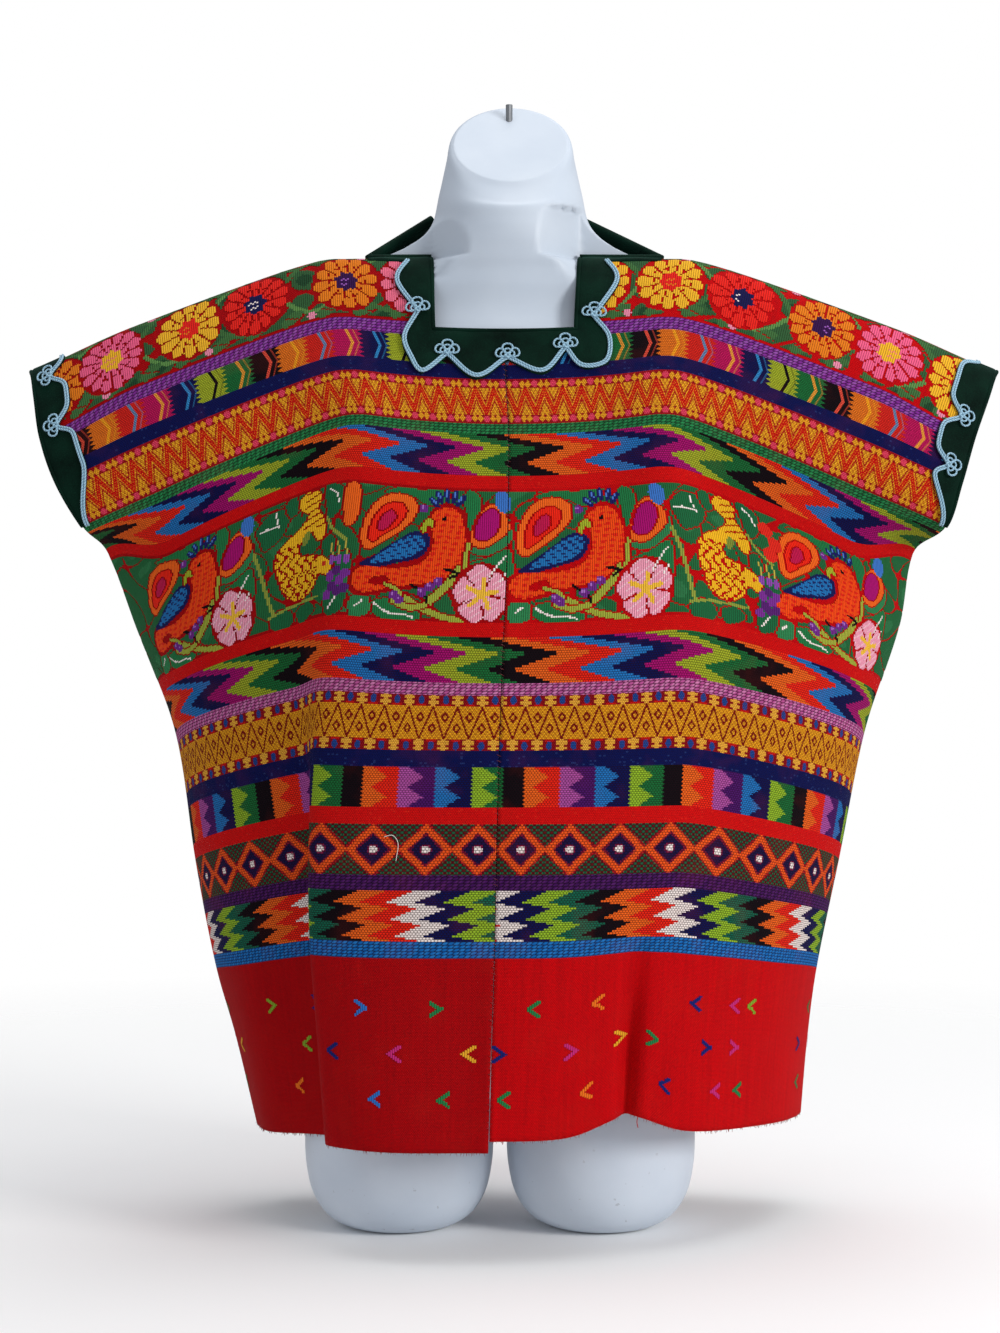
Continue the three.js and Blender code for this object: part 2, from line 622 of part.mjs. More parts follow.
// The dress form: torso and two thigh stubs, whose soles are flat. Its shoulders end just inside the cloth.
function makeForm() {
  const torso = loftOf(TORSO_RINGS.map(ovalRing));
  const stubs = [-1, 1].map((side) => {
    const rings = [...STUB_RINGS, { height: STUB.top, share: 0.97 }];
    return loftOf(rings.map(({ height, share }) => ovalRing({
      x: side * STUB.centre, height, wide: STUB.wide * share, deep: STUB.deep * share, middle: 0,
      sides: STUB_SIDES,
    })));
  });
  const seats = Object.values(panels).map((panel) => {
    const upper = panel.quads.filter((quad) => quad.drop < SEAT_END);
    const seat = solidOf(wallOf(panel.vertices, panel.normals, upper, -WALL / 2 - FORM_GAP, SEAT_CUT));
    return seat.add(seat.translate([-panel.side * SEAM_CLEAR, 0, 0]));
  });
  const whole = [torso, ...stubs].map(solidOf).reduce((all, solid) => all.add(solid));
  return geometryFrom(seats.reduce((all, seat) => all.subtract(seat), whole));
}

// The hanging hook's short shank, standing on the slanted neck cap
function makeShank() {
  const cap = TORSO_RINGS.at(-1);
  const foot = cap.height + cap.tilt * (SHANK.y - cap.middle) + 0.3;
  const ring = (height, tilt) => ovalRing({
    x: SHANK.x, height, wide: SHANK.radius, deep: SHANK.radius, middle: SHANK.y, tilt, sides: SHANK.sides,
  });
  return geometryOf(loftOf([ring(foot, cap.tilt), ring(foot + SHANK.high, 0)]));
}

const cloth = new THREE.MeshStandardMaterial({ color: 0xc41a12, roughness: 0.85, side: THREE.DoubleSide });
const velvet = new THREE.MeshStandardMaterial({ color: 0x063d2b, roughness: 0.7 });
const cord = new THREE.MeshStandardMaterial({ color: 0x7fb2cc, roughness: 0.6 });
const plastic = new THREE.MeshStandardMaterial({ color: 0xdfe6ee, roughness: 0.45 });
const metal = new THREE.MeshStandardMaterial({ color: 0x8d9094, roughness: 0.35, metalness: 1 });

const panels = { left: makePanel(-1), right: makePanel(1) };
const tunic = new THREE.Group();

function addMesh(name, geometry, material) {
  const mesh = new THREE.Mesh(geometry, material);
  mesh.name = name;
  tunic.add(mesh);
}

for (const [name, panel] of Object.entries(panels)) {
  const wall = wallOf(panel.vertices, panel.normals, panel.quads, -WALL / 2, WALL / 2);
  addMesh("panel_" + name, geometryOf(wall), cloth.clone());
}
for (const layer of ["front", "back"]) {
  addMesh("neck_trim_" + layer, geometryOf(neckTrim(layer)), velvet.clone());
  addMesh("neck_cord_" + layer, neckCord(layer), cord.clone());
}
for (const [name, side] of [["left", -1], ["right", 1]]) {
  addMesh("armhole_trim_" + name, geometryOf(armTrim(side, ARM_NOTCHES[name])), velvet.clone());
  addMesh("armhole_cord_" + name, armCord(side, ARM_NOTCHES[name]), cord.clone());
}
addMesh("torso_form", makeForm(), plastic);
addMesh("hook_shank", makeShank(), metal);

// The frame's origin is the middle of the whole at floor level.
const box = new THREE.Box3().setFromObject(tunic, true);
tunic.position.set(-(box.min.x + box.max.x) / 2, -(box.min.y + box.max.y) / 2, -box.min.z);

export default tunic;
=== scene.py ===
"""A huipil tunic on a torso dress form: two brocaded panels, velvet trims, scalloped cords and the form."""

import logging
from dataclasses import dataclass, field
from enum import Enum
from typing import Callable, Sequence

import bpy
import numpy as np
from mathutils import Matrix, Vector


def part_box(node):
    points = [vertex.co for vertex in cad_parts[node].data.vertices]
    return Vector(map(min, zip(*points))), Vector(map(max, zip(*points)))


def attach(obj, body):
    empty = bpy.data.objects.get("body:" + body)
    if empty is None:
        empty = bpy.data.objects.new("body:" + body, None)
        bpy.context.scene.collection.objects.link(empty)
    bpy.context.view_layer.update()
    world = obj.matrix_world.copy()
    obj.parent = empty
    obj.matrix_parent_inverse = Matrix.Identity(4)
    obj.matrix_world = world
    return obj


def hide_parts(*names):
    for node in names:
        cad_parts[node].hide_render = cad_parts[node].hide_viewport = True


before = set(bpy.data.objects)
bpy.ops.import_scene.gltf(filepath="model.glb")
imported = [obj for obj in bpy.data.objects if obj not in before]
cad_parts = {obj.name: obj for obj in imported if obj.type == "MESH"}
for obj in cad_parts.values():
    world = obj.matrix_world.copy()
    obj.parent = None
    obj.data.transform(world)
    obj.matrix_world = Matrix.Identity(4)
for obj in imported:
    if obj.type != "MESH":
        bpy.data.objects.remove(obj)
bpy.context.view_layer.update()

LOG = logging.getLogger("tunic")
MM = 0.001

# The sizes of the cut, in millimetres, as in the solids.
PANEL_WIDTH = 370.0
ARMHOLE_DEPTH = 185.0
HEM_RIGHT = 656.0
NECK_HALF = 56.0
NECK_DROP = 67.0
SLIT_GAP = 2.5
BINDING = 11.0
ARM_TRIM_END = 139.0
ARM_TRIM_WIDE = 27.0
CLOTH_HALF = 0.75

Array = np.ndarray


class Side(Enum):
    """The wearer's panel as seen from the front: the left or right half of the picture."""

    LEFT = -1
    RIGHT = 1

    @property
    def slit(self) -> float:
        """The shoulder slit's end, across from the centre seam."""
        return 106.0 if self is Side.LEFT else 118.0

    @property
    def hem(self) -> float:
        """The drop of the hem below the shoulder fold."""
        return 664.0 if self is Side.LEFT else 656.0


class Layer(Enum):
    """The front or the back half of a folded panel."""

    FRONT = -1
    BACK = 1


def smooth(x: Array) -> Array:
    """The smooth step s * s * (3 - 2 * s) of x held between 0 and 1."""
    s = np.clip(x, 0.0, 1.0)
    return s * s * (3.0 - 2.0 * s)


def srgb(code: str) -> tuple[float, float, float]:
    """Turns a hex colour such as "7A2B8C" into linear red, green and blue."""
    parts = [int(code[k : k + 2], 16) / 255.0 for k in (0, 2, 4)]
    return tuple(c / 12.92 if c <= 0.04045 else ((c + 0.055) / 1.055) ** 2.4 for c in parts)


# The drape

SECTION_COLUMNS = (
    "drop", "height", "front", "back", "rise", "seam", "left", "right", "edge", "turn", "slope", "tip",
)
SECTION_ROWS = np.array([
    [0, 724, -20, -20, 0, 3, 354, 375, 0, 25, 0.36, 4],
    [12, 720, -31, -7, 1, 3, 351, 371, -9, 26, 0.36, 5],
    [30, 705, -42, 8, 5, 3, 347, 364, -20, 27, 0.36, 6],
    [62, 676, -55, 32, 11, 3, 340, 351, -34, 28, 0.36, 8],
    [104, 635, -72, 58, 14, 4, 326, 339, -46, 32, 0.36, 2],
    [139, 601, -86, 74, 12, 6, 308, 329, -42, 40, 0.36, -1],
    [185, 558, -100, 88, 8, 6, 296, 312, 2, 66, 0.35, -24],
    [240, 505, -110, 95, 4, 5, 280, 307, 36, 80, 0.3, -12],
    [330, 412, -120, 100, 1, 1, 251, 282, 60, 90, 0.22, 0],
    [432, 309, -124, 104, 0, -2, 237, 264, 72, 90, 0.2, 0],
    [527, 215, -127, 107, 0, -4, 221, 247, 76, 90, 0.15, 0],
    [590, 153, -129, 109, 0, -6, 206, 240, 76, 90, 0.1, 0],
    [664, 79, -131, 112, 0, -8, 190, 234, 76, 90, 0.06, 0],
], dtype=float)

# side, layer, upper, lower, width, from, full, end, out
FOLD_ROWS = np.array([
    [-1, -1, 118, 120, 34, 60, 170, 420, 6],
    [1, -1, 112, 150, 34, 60, 180, 420, 7],
    [1, -1, 150, 196, 26, 120, 220, 520, -6],
    [1, -1, 100, 101, 6, 470, 620, 900, -9],
    [1, -1, 122, 106, 7, 470, 600, 900, -8],
    [-1, 1, 50, 58, 24, 150, 560, 900, 13],
    [-1, 1, 100, 110, 22, 170, 560, 900, -15],
    [-1, 1, 150, 165, 26, 150, 520, 900, 15],
    [-1, 1, 205, 225, 24, 200, 560, 900, -14],
    [-1, 1, 262, 285, 26, 220, 520, 900, 10],
    [1, 1, 42, 52, 22, 170, 560, 900, -12],
    [1, 1, 90, 104, 25, 140, 540, 900, 15],
    [1, 1, 146, 166, 24, 190, 560, 900, -15],
    [1, 1, 205, 232, 28, 160, 520, 900, 13],
    [1, 1, 262, 290, 22, 240, 560, 900, -9],
], dtype=float)


@dataclass(frozen=True)
class Drape:
    """The hanging cloth's middle surface, worked out from the same tables as the solids."""

    flat_shoulder: float = 130.0
    fall_round: float = 25.0
    centre_sag: float = 7.0
    sag_reach: float = 120.0
    seam_gap: float = 0.5
    flap_rise: float = 36.0
    flap_lean: float = 30.0
    ripple_high: float = 0.9

    def section(self, drop: Array) -> dict[str, Array]:
        """Reads the section table at each drop.

        Formula: between rows i and i + 1, with s the share of the way, a (1 - h) + b h
        + m0 s (1 - s)^2 - m1 s^2 (1 - s), where h is the smooth step and m the neighbours' slopes.

        Args:
            drop: cloth length below the shoulder fold.

        Returns:
            Each column's values, by its name.
        """
        at = SECTION_ROWS[:, 0]
        last = len(at) - 1
        i = np.clip(np.searchsorted(at, drop, side="left") - 1, 0, last - 1)
        span = at[i + 1] - at[i]
        s = ((drop - at[i]) / span)[..., None]
        low, high = np.maximum(np.arange(last + 1) - 1, 0), np.minimum(np.arange(last + 1) + 1, last)
        slope = (SECTION_ROWS[high] - SECTION_ROWS[low]) / (at[high] - at[low])[:, None]
        h = s * s * (3 - 2 * s)
        values = (
            SECTION_ROWS[i] * (1 - h) + SECTION_ROWS[i + 1] * h
            + slope[i] * span[..., None] * s * (1 - s) ** 2
            - slope[i + 1] * span[..., None] * s * s * (1 - s)
        )
        return {name: values[..., k] for k, name in enumerate(SECTION_COLUMNS)}

    @staticmethod
    def along_arc(reach: Array, depth: Array, turn: Array, share: Array) -> tuple[Array, Array]:
        """A place at a share of an elliptical arc's length: (sin t / sin T, (1 - cos t) / (1 - cos T)).

        Args:
            reach: the arc's width. depth: its depth. turn: the angle T. share: part of its length.

        Returns:
            The place as shares of the reach and of the depth.
        """
        steps = 40
        angle = turn[..., None] * np.arange(steps + 1) / steps
        across = np.sin(angle) / np.sin(turn)[..., None]
        down = (1 - np.cos(angle)) / (1 - np.cos(turn))[..., None]
        pieces = np.hypot(np.diff(across) * reach[..., None], np.diff(down) * depth[..., None])
        lengths = np.concatenate([np.zeros_like(pieces[..., :1]), np.cumsum(pieces, axis=-1)], axis=-1)
        wanted = share * lengths[..., -1]
        k = np.clip((lengths[..., 1:] < wanted[..., None]).sum(-1), 0, steps - 1)[..., None]
        low = np.take_along_axis(lengths, k, -1)[..., 0]
        high = np.take_along_axis(lengths, k + 1, -1)[..., 0]
        t = (k[..., 0] + (wanted - low) / (high - low)) / steps * turn
        return np.sin(t) / np.sin(turn), (1 - np.cos(t)) / (1 - np.cos(turn))

    def ripples(self, side: Side, layer: Layer, across: Array, drop: Array) -> Array:
        """Small unevenness of woven cloth: slow sine waves along and across, faded out at the edges."""
        phase = 1.7 * side.value + 0.6 * layer.value
        wave = np.sin(across / 31 + drop / 90 + phase) + 0.7 * np.sin(across / 17 - drop / 61 + 2 * phase)
        wave += 0.5 * np.sin(drop / 23 + across / 140 + phase)
        fade = smooth((drop - 70) / 60) * smooth(across / 14) * smooth((PANEL_WIDTH - across) / 30)
        return self.ripple_high * wave * fade

    def points(self, side: Side, layer: Layer, across: Array, drop: Array) -> Array:
        """The cloth's middle surface.

        Formula: an elliptical arc from the centre seam to the edge, moved out by a Gaussian for each
        soft fold and by the step fold, and lowered by the shoulder's fall and the neck's sag.

        Args:
            side: the panel. layer: its front or back. across: from the centre seam, along the cloth.
            drop: below the shoulder fold, along the cloth.

        Returns:
            Points in millimetres, with the last axis x, y, z.
        """
        across, drop = np.broadcast_arrays(np.asarray(across, float), np.asarray(drop, float))
        s = self.section(drop)
        front = layer is Layer.FRONT
        seam = s["seam"] + side.value * self.seam_gap * 0.5
        reach = s["left"] + seam if side is Side.LEFT else s["right"] - seam
        mid = s["front"] if front else s["back"]
        edge = s["edge"] if front else np.where(drop >= ARMHOLE_DEPTH, s["edge"], -s["edge"])
        length, whole, out = across, np.full_like(across, PANEL_WIDTH), np.zeros_like(across)
        if front and side is Side.LEFT:
            opening = smooth((drop - 190) / (527 - 190))
            behind = smooth((across - 125) / 60)
            length = across - 58 * opening * behind
            whole = PANEL_WIDTH - 58 * opening
            ahead = smooth(across / 125) * (1 - behind)
            settled = smooth((across - 125 - 60) / 110)
            out = out + opening * (18 * ahead - 30 * behind * (1 - settled))
        for row in FOLD_ROWS[(FOLD_ROWS[:, 0] == side.value) & (FOLD_ROWS[:, 1] == layer.value)]:
            upper, lower, width, start, full, end, high = row[2:]
            way = smooth((drop - start) / (full - start))
            fade = 1 - smooth((drop - full) / (end - full))
            middle = upper + (lower - upper) * np.minimum(1, drop / HEM_RIGHT)
            out = out + high * way * fade * np.exp(-(((across - middle) / width) ** 2))
        out = out + self.ripples(side, layer, across, drop)
        turn = np.radians(s["turn"])
        ax, ay = self.along_arc(reach, np.abs(edge - mid) + 1, turn, length / whole)
        near = np.maximum(0, 1 - (across / self.sag_reach) ** 2)
        sag = self.centre_sag * near * (1 - smooth((drop - 240) / 200))
        past = np.maximum(0, across - self.flat_shoulder)
        fall = s["slope"] * past * past / (past + self.fall_round) + s["tip"] * smooth((across - 290) / 80)
        x = seam + side.value * reach * ax
        y = mid + (edge - mid) * ay + (-out if front else out)
        z = s["height"] - fall - sag * smooth((drop - 20) / 60)
        if not front:
            z = z + s["rise"] * (1 - ay)
        if front and side is Side.RIGHT:
            pinch = np.exp(-(((across - 104) / 32) ** 2))
            z = z + 14 * pinch * smooth((drop - 480) / (HEM_RIGHT - 480))
        if not front:
            lift = np.clip((side.slit - across) / (side.slit - NECK_HALF), 0, 1)
            lift = lift * smooth(1 - drop / NECK_DROP)
            z = z + self.flap_rise * lift
            y = y + self.flap_lean * lift
        return np.stack([x, y, z], axis=-1)

    def normals(self, side: Side, layer: Layer, across: Array, drop: Array) -> Array:
        """Unit normals out of the tunic, from steps of 1 mm; on the shoulder fold both layers share theirs.

        Args:
            side: the panel. layer: its front or back. across, drop: places on the cloth.

        Returns:
            Unit vectors with the last axis x, y, z.
        """
        def of(which: Layer) -> Array:
            """The plain normal of one layer: the cross product of its two tangents."""
            a = self.points(side, which, across + 0.5, drop) - self.points(side, which, across - 0.5, drop)
            low = np.maximum(drop - 0.5, 0)
            b = self.points(side, which, across, drop + 0.5) - self.points(side, which, across, low)
            n = np.cross(a, b) * (side.value * which.value)
            return n / np.linalg.norm(n, axis=-1, keepdims=True)

        across, drop = np.broadcast_arrays(np.asarray(across, float), np.asarray(drop, float))
        other = Layer.BACK if layer is Layer.FRONT else Layer.FRONT
        near_fold = (0.5 - 0.5 * smooth(drop / 7)) * smooth((across - side.slit) / 6 + 1)
        near_side = 0.5 * smooth((across - 360) / 10) * smooth((drop - ARMHOLE_DEPTH) / 6)
        share = np.maximum(near_fold, near_side)[..., None]
        n = of(layer) * (1 - share) + of(other) * share
        return n / np.linalg.norm(n, axis=-1, keepdims=True)

    def lifted(self, side: Side, layer: Layer, across: Array, drop: Array, offset: Array) -> Array:
        """Places moved out from the cloth's middle surface along its normal by offset."""
        n = self.normals(side, layer, across, drop)
        return self.points(side, layer, across, drop) + n * np.asarray(offset, float)[..., None]

    def route(self, layer: Layer, line: Array, lift: float) -> tuple[Array, Array]:
        """A line of signed cloth places lifted off the cloth's middle, and the way out of the cloth there."""
        path = self.lifted_signed(layer, line[:, 0], line[:, 1], np.full(len(line), lift))
        return path, self.lifted_signed(layer, line[:, 0], line[:, 1], np.full(len(line), lift + 1.0)) - path

    def lifted_signed(self, layer: Layer, across: Array, drop: Array, offset: Array) -> Array:
        """As lifted, with across signed: minus on the left panel."""
        across, drop, offset = np.broadcast_arrays(across, drop, offset)
        left = self.lifted(Side.LEFT, layer, np.maximum(-across, 0), drop, offset)
        right = self.lifted(Side.RIGHT, layer, np.maximum(across, 0), drop, offset)
        return np.where((across < 0)[..., None], left, right)


DRAPE = Drape()
# The tables' origin in the part's frame: the hook's shank stands at x 7, y 24 in them
SHANK = np.array(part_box("hook_shank"), dtype=float)
SHIFT = np.append(SHANK[:, :2].mean(0) / MM - (7.0, 24.0), 0.0)


# Meshes

@dataclass
class Patch:
    """Points and faces of a piece in millimetres, with what its materials read."""

    points: Array
    faces: list
    uv: Array | None = None
    slots: Array | None = None
    thread: Array | None = None

    @staticmethod
    def joined(parts: Sequence["Patch"]) -> "Patch":
        """Puts several patches into one, in order."""
        starts = np.cumsum([0] + [len(p.points) for p in parts[:-1]])
        faces = [[k + s for k in face] for p, s in zip(parts, starts) for face in p.faces]
        uv = None if parts[0].uv is None else np.concatenate([p.uv for p in parts])
        slots = None
        if parts[0].slots is not None:
            slots = np.concatenate([np.zeros(len(p.faces)) if p.slots is None else p.slots for p in parts])
        thread = None if parts[0].thread is None else np.concatenate([p.thread for p in parts])
        return Patch(np.concatenate([p.points for p in parts]), faces, uv, slots, thread)

    def make(self, name: str, materials: Sequence[bpy.types.Material]) -> bpy.types.Object:
        """Makes the piece's object, which rides on the part's one body.

        Args:
            name: the object's name.
            materials: its material slots, in order.

        Returns:
            The new object, at the origin, with its place in its mesh.
        """
        mesh = bpy.data.meshes.new(name)
        mesh.from_pydata(((self.points + SHIFT) * MM).tolist(), [], self.faces)
        mesh.polygons.foreach_set("use_smooth", np.ones(len(mesh.polygons), dtype=bool))
        corner = np.empty(len(mesh.loops), dtype=np.int32)
        mesh.loops.foreach_get("vertex_index", corner)
        if self.uv is not None:
            layer = mesh.uv_layers.new(name="cloth")
            layer.data.foreach_set("uv", self.uv[corner].astype(np.float32).ravel())
        if self.slots is not None:
            mesh.polygons.foreach_set("material_index", self.slots.astype(np.int32))
        if self.thread is not None:
            counts = np.empty(len(mesh.polygons), dtype=np.int32)
            mesh.polygons.foreach_get("loop_total", counts)
            tint = mesh.attributes.new("thread", "FLOAT_VECTOR", "CORNER")
            tint.data.foreach_set("vector", np.repeat(self.thread, counts, axis=0).astype(np.float32).ravel())
        for material in materials:
            mesh.materials.append(material)
        mesh.update()
        piece = bpy.data.objects.new(name, mesh)
        bpy.context.scene.collection.objects.link(piece)
        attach(piece, "root")
        LOG.info("%s: %d points, %d faces", name, len(self.points), len(self.faces))
        return piece


def shell(outer: Array, inner: Array, keep: Array, uv: Array, bands: Array | None = None) -> Patch:
    """A closed thin shell between two grids of points, with rims round the kept cells.

    Args:
        outer, inner: grids of points, rows by columns. keep: which cells are cloth.
        uv: the cloth place of each grid point. bands: the material slot of each row of cells.

    Returns:
        The closed patch.
    """
    rows, columns = outer.shape[:2]
    index = np.arange(rows * columns).reshape(rows, columns)
    count = rows * columns
    j, i = np.nonzero(keep)
    a, b, c, d = index[j, i], index[j + 1, i], index[j + 1, i + 1], index[j, i + 1]
    faces = [np.stack([a, b, c, d], -1), np.stack([a, d, c, b], -1) + count]
    slots = [np.zeros(len(j)) if bands is None else bands[j]] * 2
    padded = np.pad(keep, 1)
    for before, here, along in (
        (padded[1:-1, :-1], padded[1:-1, 1:], (1, 0)), (padded[:-1, 1:-1], padded[1:, 1:-1], (0, 1)),
    ):
        for one, other, turned in ((before, here, False), (here, before, True)):
            j, i = np.nonzero(other & ~one)
            p, q = index[j, i], index[j + along[0], i + along[1]]
            if turned != (along == (0, 1)):
                p, q = q, p
            faces.append(np.stack([p, p + count, q + count, q], -1))
            row = np.minimum(j, keep.shape[0] - 1)
            slots.append(np.zeros(len(j)) if bands is None else bands[row])
    quads = np.concatenate(faces)
    sample = faces[0][len(faces[0]) // 2]
    points = np.concatenate([outer.reshape(-1, 3), inner.reshape(-1, 3)])
    face = np.cross(points[sample[2]] - points[sample[0]], points[sample[3]] - points[sample[1]])
    if face @ (points[sample[0]] - points[sample[0] + count]) < 0:
        quads = quads[:, ::-1]
    used, flat = np.unique(quads, return_inverse=True)
    place = np.tile(uv.reshape(-1, 2), (2, 1))[used]
    return Patch(points[used], flat.reshape(quads.shape).tolist(), place, np.concatenate(slots))


def tube(path: Array, up: Array, radius: float, sides: int = 8, closed: bool = False) -> Patch:
    """A round cord along a path: centre + radius (cos a * aside + sin a * up).

    Args:
        path: the centre line's points. up: a direction at each, roughly square to the path.
        radius: half the cord's thickness. sides: of its ring. closed: whether its ends meet.

    Returns:
        The closed patch, with uv the length along and the share round, both for the twist.
    """
    if closed:
        ahead = np.roll(path, -1, 0) - np.roll(path, 1, 0)
    else:
        ahead = np.gradient(path, axis=0)
    ahead /= np.linalg.norm(ahead, axis=1, keepdims=True)
    aside = np.cross(ahead, up)
    aside /= np.linalg.norm(aside, axis=1, keepdims=True)
    lift = np.cross(aside, ahead)
    angle = np.arange(sides) * 2 * np.pi / sides
    ring = path[:, None] + radius * (np.cos(angle)[None, :, None] * aside[:, None]
                                     + np.sin(angle)[None, :, None] * lift[:, None])
    n = len(path)
    index = np.arange(n * sides).reshape(n, sides)
    after = np.roll(index, -1, 1)
    if closed:
        here, there = index, np.roll(index, -1, 0)
        here_after, there_after = after, np.roll(after, -1, 0)
    else:
        here, there, here_after, there_after = index[:-1], index[1:], after[:-1], after[1:]
    quads = np.stack([here, there, there_after, here_after], -1).reshape(-1, 4).tolist()
    if not closed:
        quads += [index[0].tolist(), index[-1][::-1].tolist()]
    run = np.concatenate([[0], np.cumsum(np.linalg.norm(np.diff(path, axis=0), axis=1))])
    uv = np.stack(np.broadcast_arrays(run[:, None], np.arange(sides)[None] / sides), -1).reshape(-1, 2)
    return Patch(ring.reshape(-1, 3), quads, uv)


def along(line: Array, shares: Array) -> Array:
    """Points at shares of the length of a line given by its points."""
    run = np.concatenate([[0], np.cumsum(np.linalg.norm(np.diff(line, axis=0), axis=1))])
    wanted = shares * run[-1]
    return np.stack([np.interp(wanted, run, line[:, k]) for k in range(line.shape[1])], -1)


def curve_through(points: Array, steps: int = 10, closed: bool = False) -> Array:
    """A Catmull-Rom curve: each stretch is the cubic that leaves a point towards its neighbours' chord.

    Args:
        points: the places it passes through. steps: points for each stretch. closed: a loop.

    Returns:
        The curve's points, the first and last of an open curve included.
    """
    points = np.asarray(points, float)
    if closed:
        p = np.concatenate([points[-1:], points, points[:2]])
    else:
        p = np.concatenate([2 * points[:1] - points[1:2], points, 2 * points[-1:] - points[-2:-1]])
    t = (np.arange(steps) / steps)[None, :, None]
    p0, p1, p2, p3 = (p[k : len(p) - 3 + k][:, None] for k in range(4))
    bends = p1 + 0.5 * t * (p2 - p0 + t * (2 * p0 - 5 * p1 + 4 * p2 - p3 + t * (3 * (p1 - p2) + p3 - p0)))
    out = bends.reshape(-1, points.shape[1])
    return out if closed else np.concatenate([out, points[-1:]])


# Shaders

class Graph:
    """One material's nodes."""

    def __init__(self, name: str) -> None:
        """Starts an empty material with its shader and output."""
        self.material = bpy.data.materials.new(name)
        self.material.use_nodes = True
        self.tree = self.material.node_tree
        self.tree.nodes.clear()
        output = self.tree.nodes.new("ShaderNodeOutputMaterial")
        self.shader = self.add("ShaderNodeBsdfPrincipled")
        self.tree.links.new(self.shader.outputs[0], output.inputs[0])

    def add(self, kind: str, settings: dict | None = None, **sockets: object) -> bpy.types.Node:
        """Adds any node.

        Args:
            kind: the node's type. settings: its own settings, set first; "stops" are a ramp's.
            sockets: values or links of its inputs, by name with _ for a space, or i0, i1 by number.

        Returns:
            The node.
        """
        node = self.tree.nodes.new(kind)
        for key, value in (settings or {}).items():
            if key == "stops":
                ramp = node.color_ramp
                while len(ramp.elements) > 1:
                    ramp.elements.remove(ramp.elements[-1])
                ramp.elements[0].position, ramp.elements[0].color = value[0]
                for place, colour in value[1:]:
                    ramp.elements.new(place).color = colour
            elif key == "interpolation":
                node.color_ramp.interpolation = value
            else:
                setattr(node, key, value)
        for key, value in sockets.items():
            numbered = key[0] == "i" and key[1:].isdigit()
            self.plug(node.inputs[int(key[1:])] if numbered else node.inputs[key.replace("_", " ")], value)
        return node

    def plug(self, socket: bpy.types.NodeSocket, value: object) -> None:
        """Links a value or socket to an input, or sets the input to a plain number or colour."""
        source = value.socket if isinstance(value, Value) else value
        if isinstance(source, bpy.types.NodeSocket):
            self.tree.links.new(source, socket)
        elif isinstance(source, tuple) and len(source) == 3 and socket.type == "RGBA":
            socket.default_value = (*source, 1.0)
        else:
            socket.default_value = source

    def mix(self, share: object, a: object, b: object) -> bpy.types.NodeSocket:
        """Mixes two colours: a where share is 0, b where it is 1."""
        return self.add("ShaderNodeMix", {"data_type": "RGBA"}, i0=share, i6=a, i7=b).outputs[2]

    def pick(self, index: "Value", colours: Sequence[tuple]) -> bpy.types.NodeSocket:
        """The colour with that whole-number index."""
        count = len(colours)
        stops = [(k / count, (*colour, 1.0)) for k, colour in enumerate(colours)]
        share = (index + 0.5) / count
        node = self.add("ShaderNodeValToRGB", {"interpolation": "CONSTANT", "stops": stops}, Fac=share)
        return node.outputs["Color"]

    def noise(self, scale: float, detail: float = 2.0, vector: object = None) -> "Value":
        """Noise from 0 to 1 with that many lumps a metre, on Object coordinates unless told."""
        at = vector or self.add("ShaderNodeTexCoord").outputs["Object"]
        node = self.add("ShaderNodeTexNoise", None, Vector=at, Scale=scale, Detail=detail)
        return Value(self, node.outputs[0])

    def place(self) -> tuple["Value", "Value"]:
        """The cloth place in millimetres: across and drop."""
        uv = self.add("ShaderNodeUVMap", {"uv_map": "cloth"}).outputs[0]
        node = self.add("ShaderNodeSeparateXYZ", None, Vector=uv)
        return Value(self, node.outputs[0]), Value(self, node.outputs[1])

    def bump(self, height: "Value", strength: float, distance: float) -> None:
        """Feeds a height to the shader's normal."""
        node = self.add("ShaderNodeBump", None, Strength=strength, Distance=distance, Height=height)
        self.plug(self.shader.inputs["Normal"], node.outputs[0])

    def dress(self, colour: object, roughness: object, **fixed: float) -> None:
        """Sets the shader's colour and roughness, and its other sockets to constants."""
        self.plug(self.shader.inputs["Base Color"], colour)
        self.plug(self.shader.inputs["Roughness"], roughness)
        for key, value in fixed.items():
            self.plug(self.shader.inputs[key.replace("_", " ")], value)


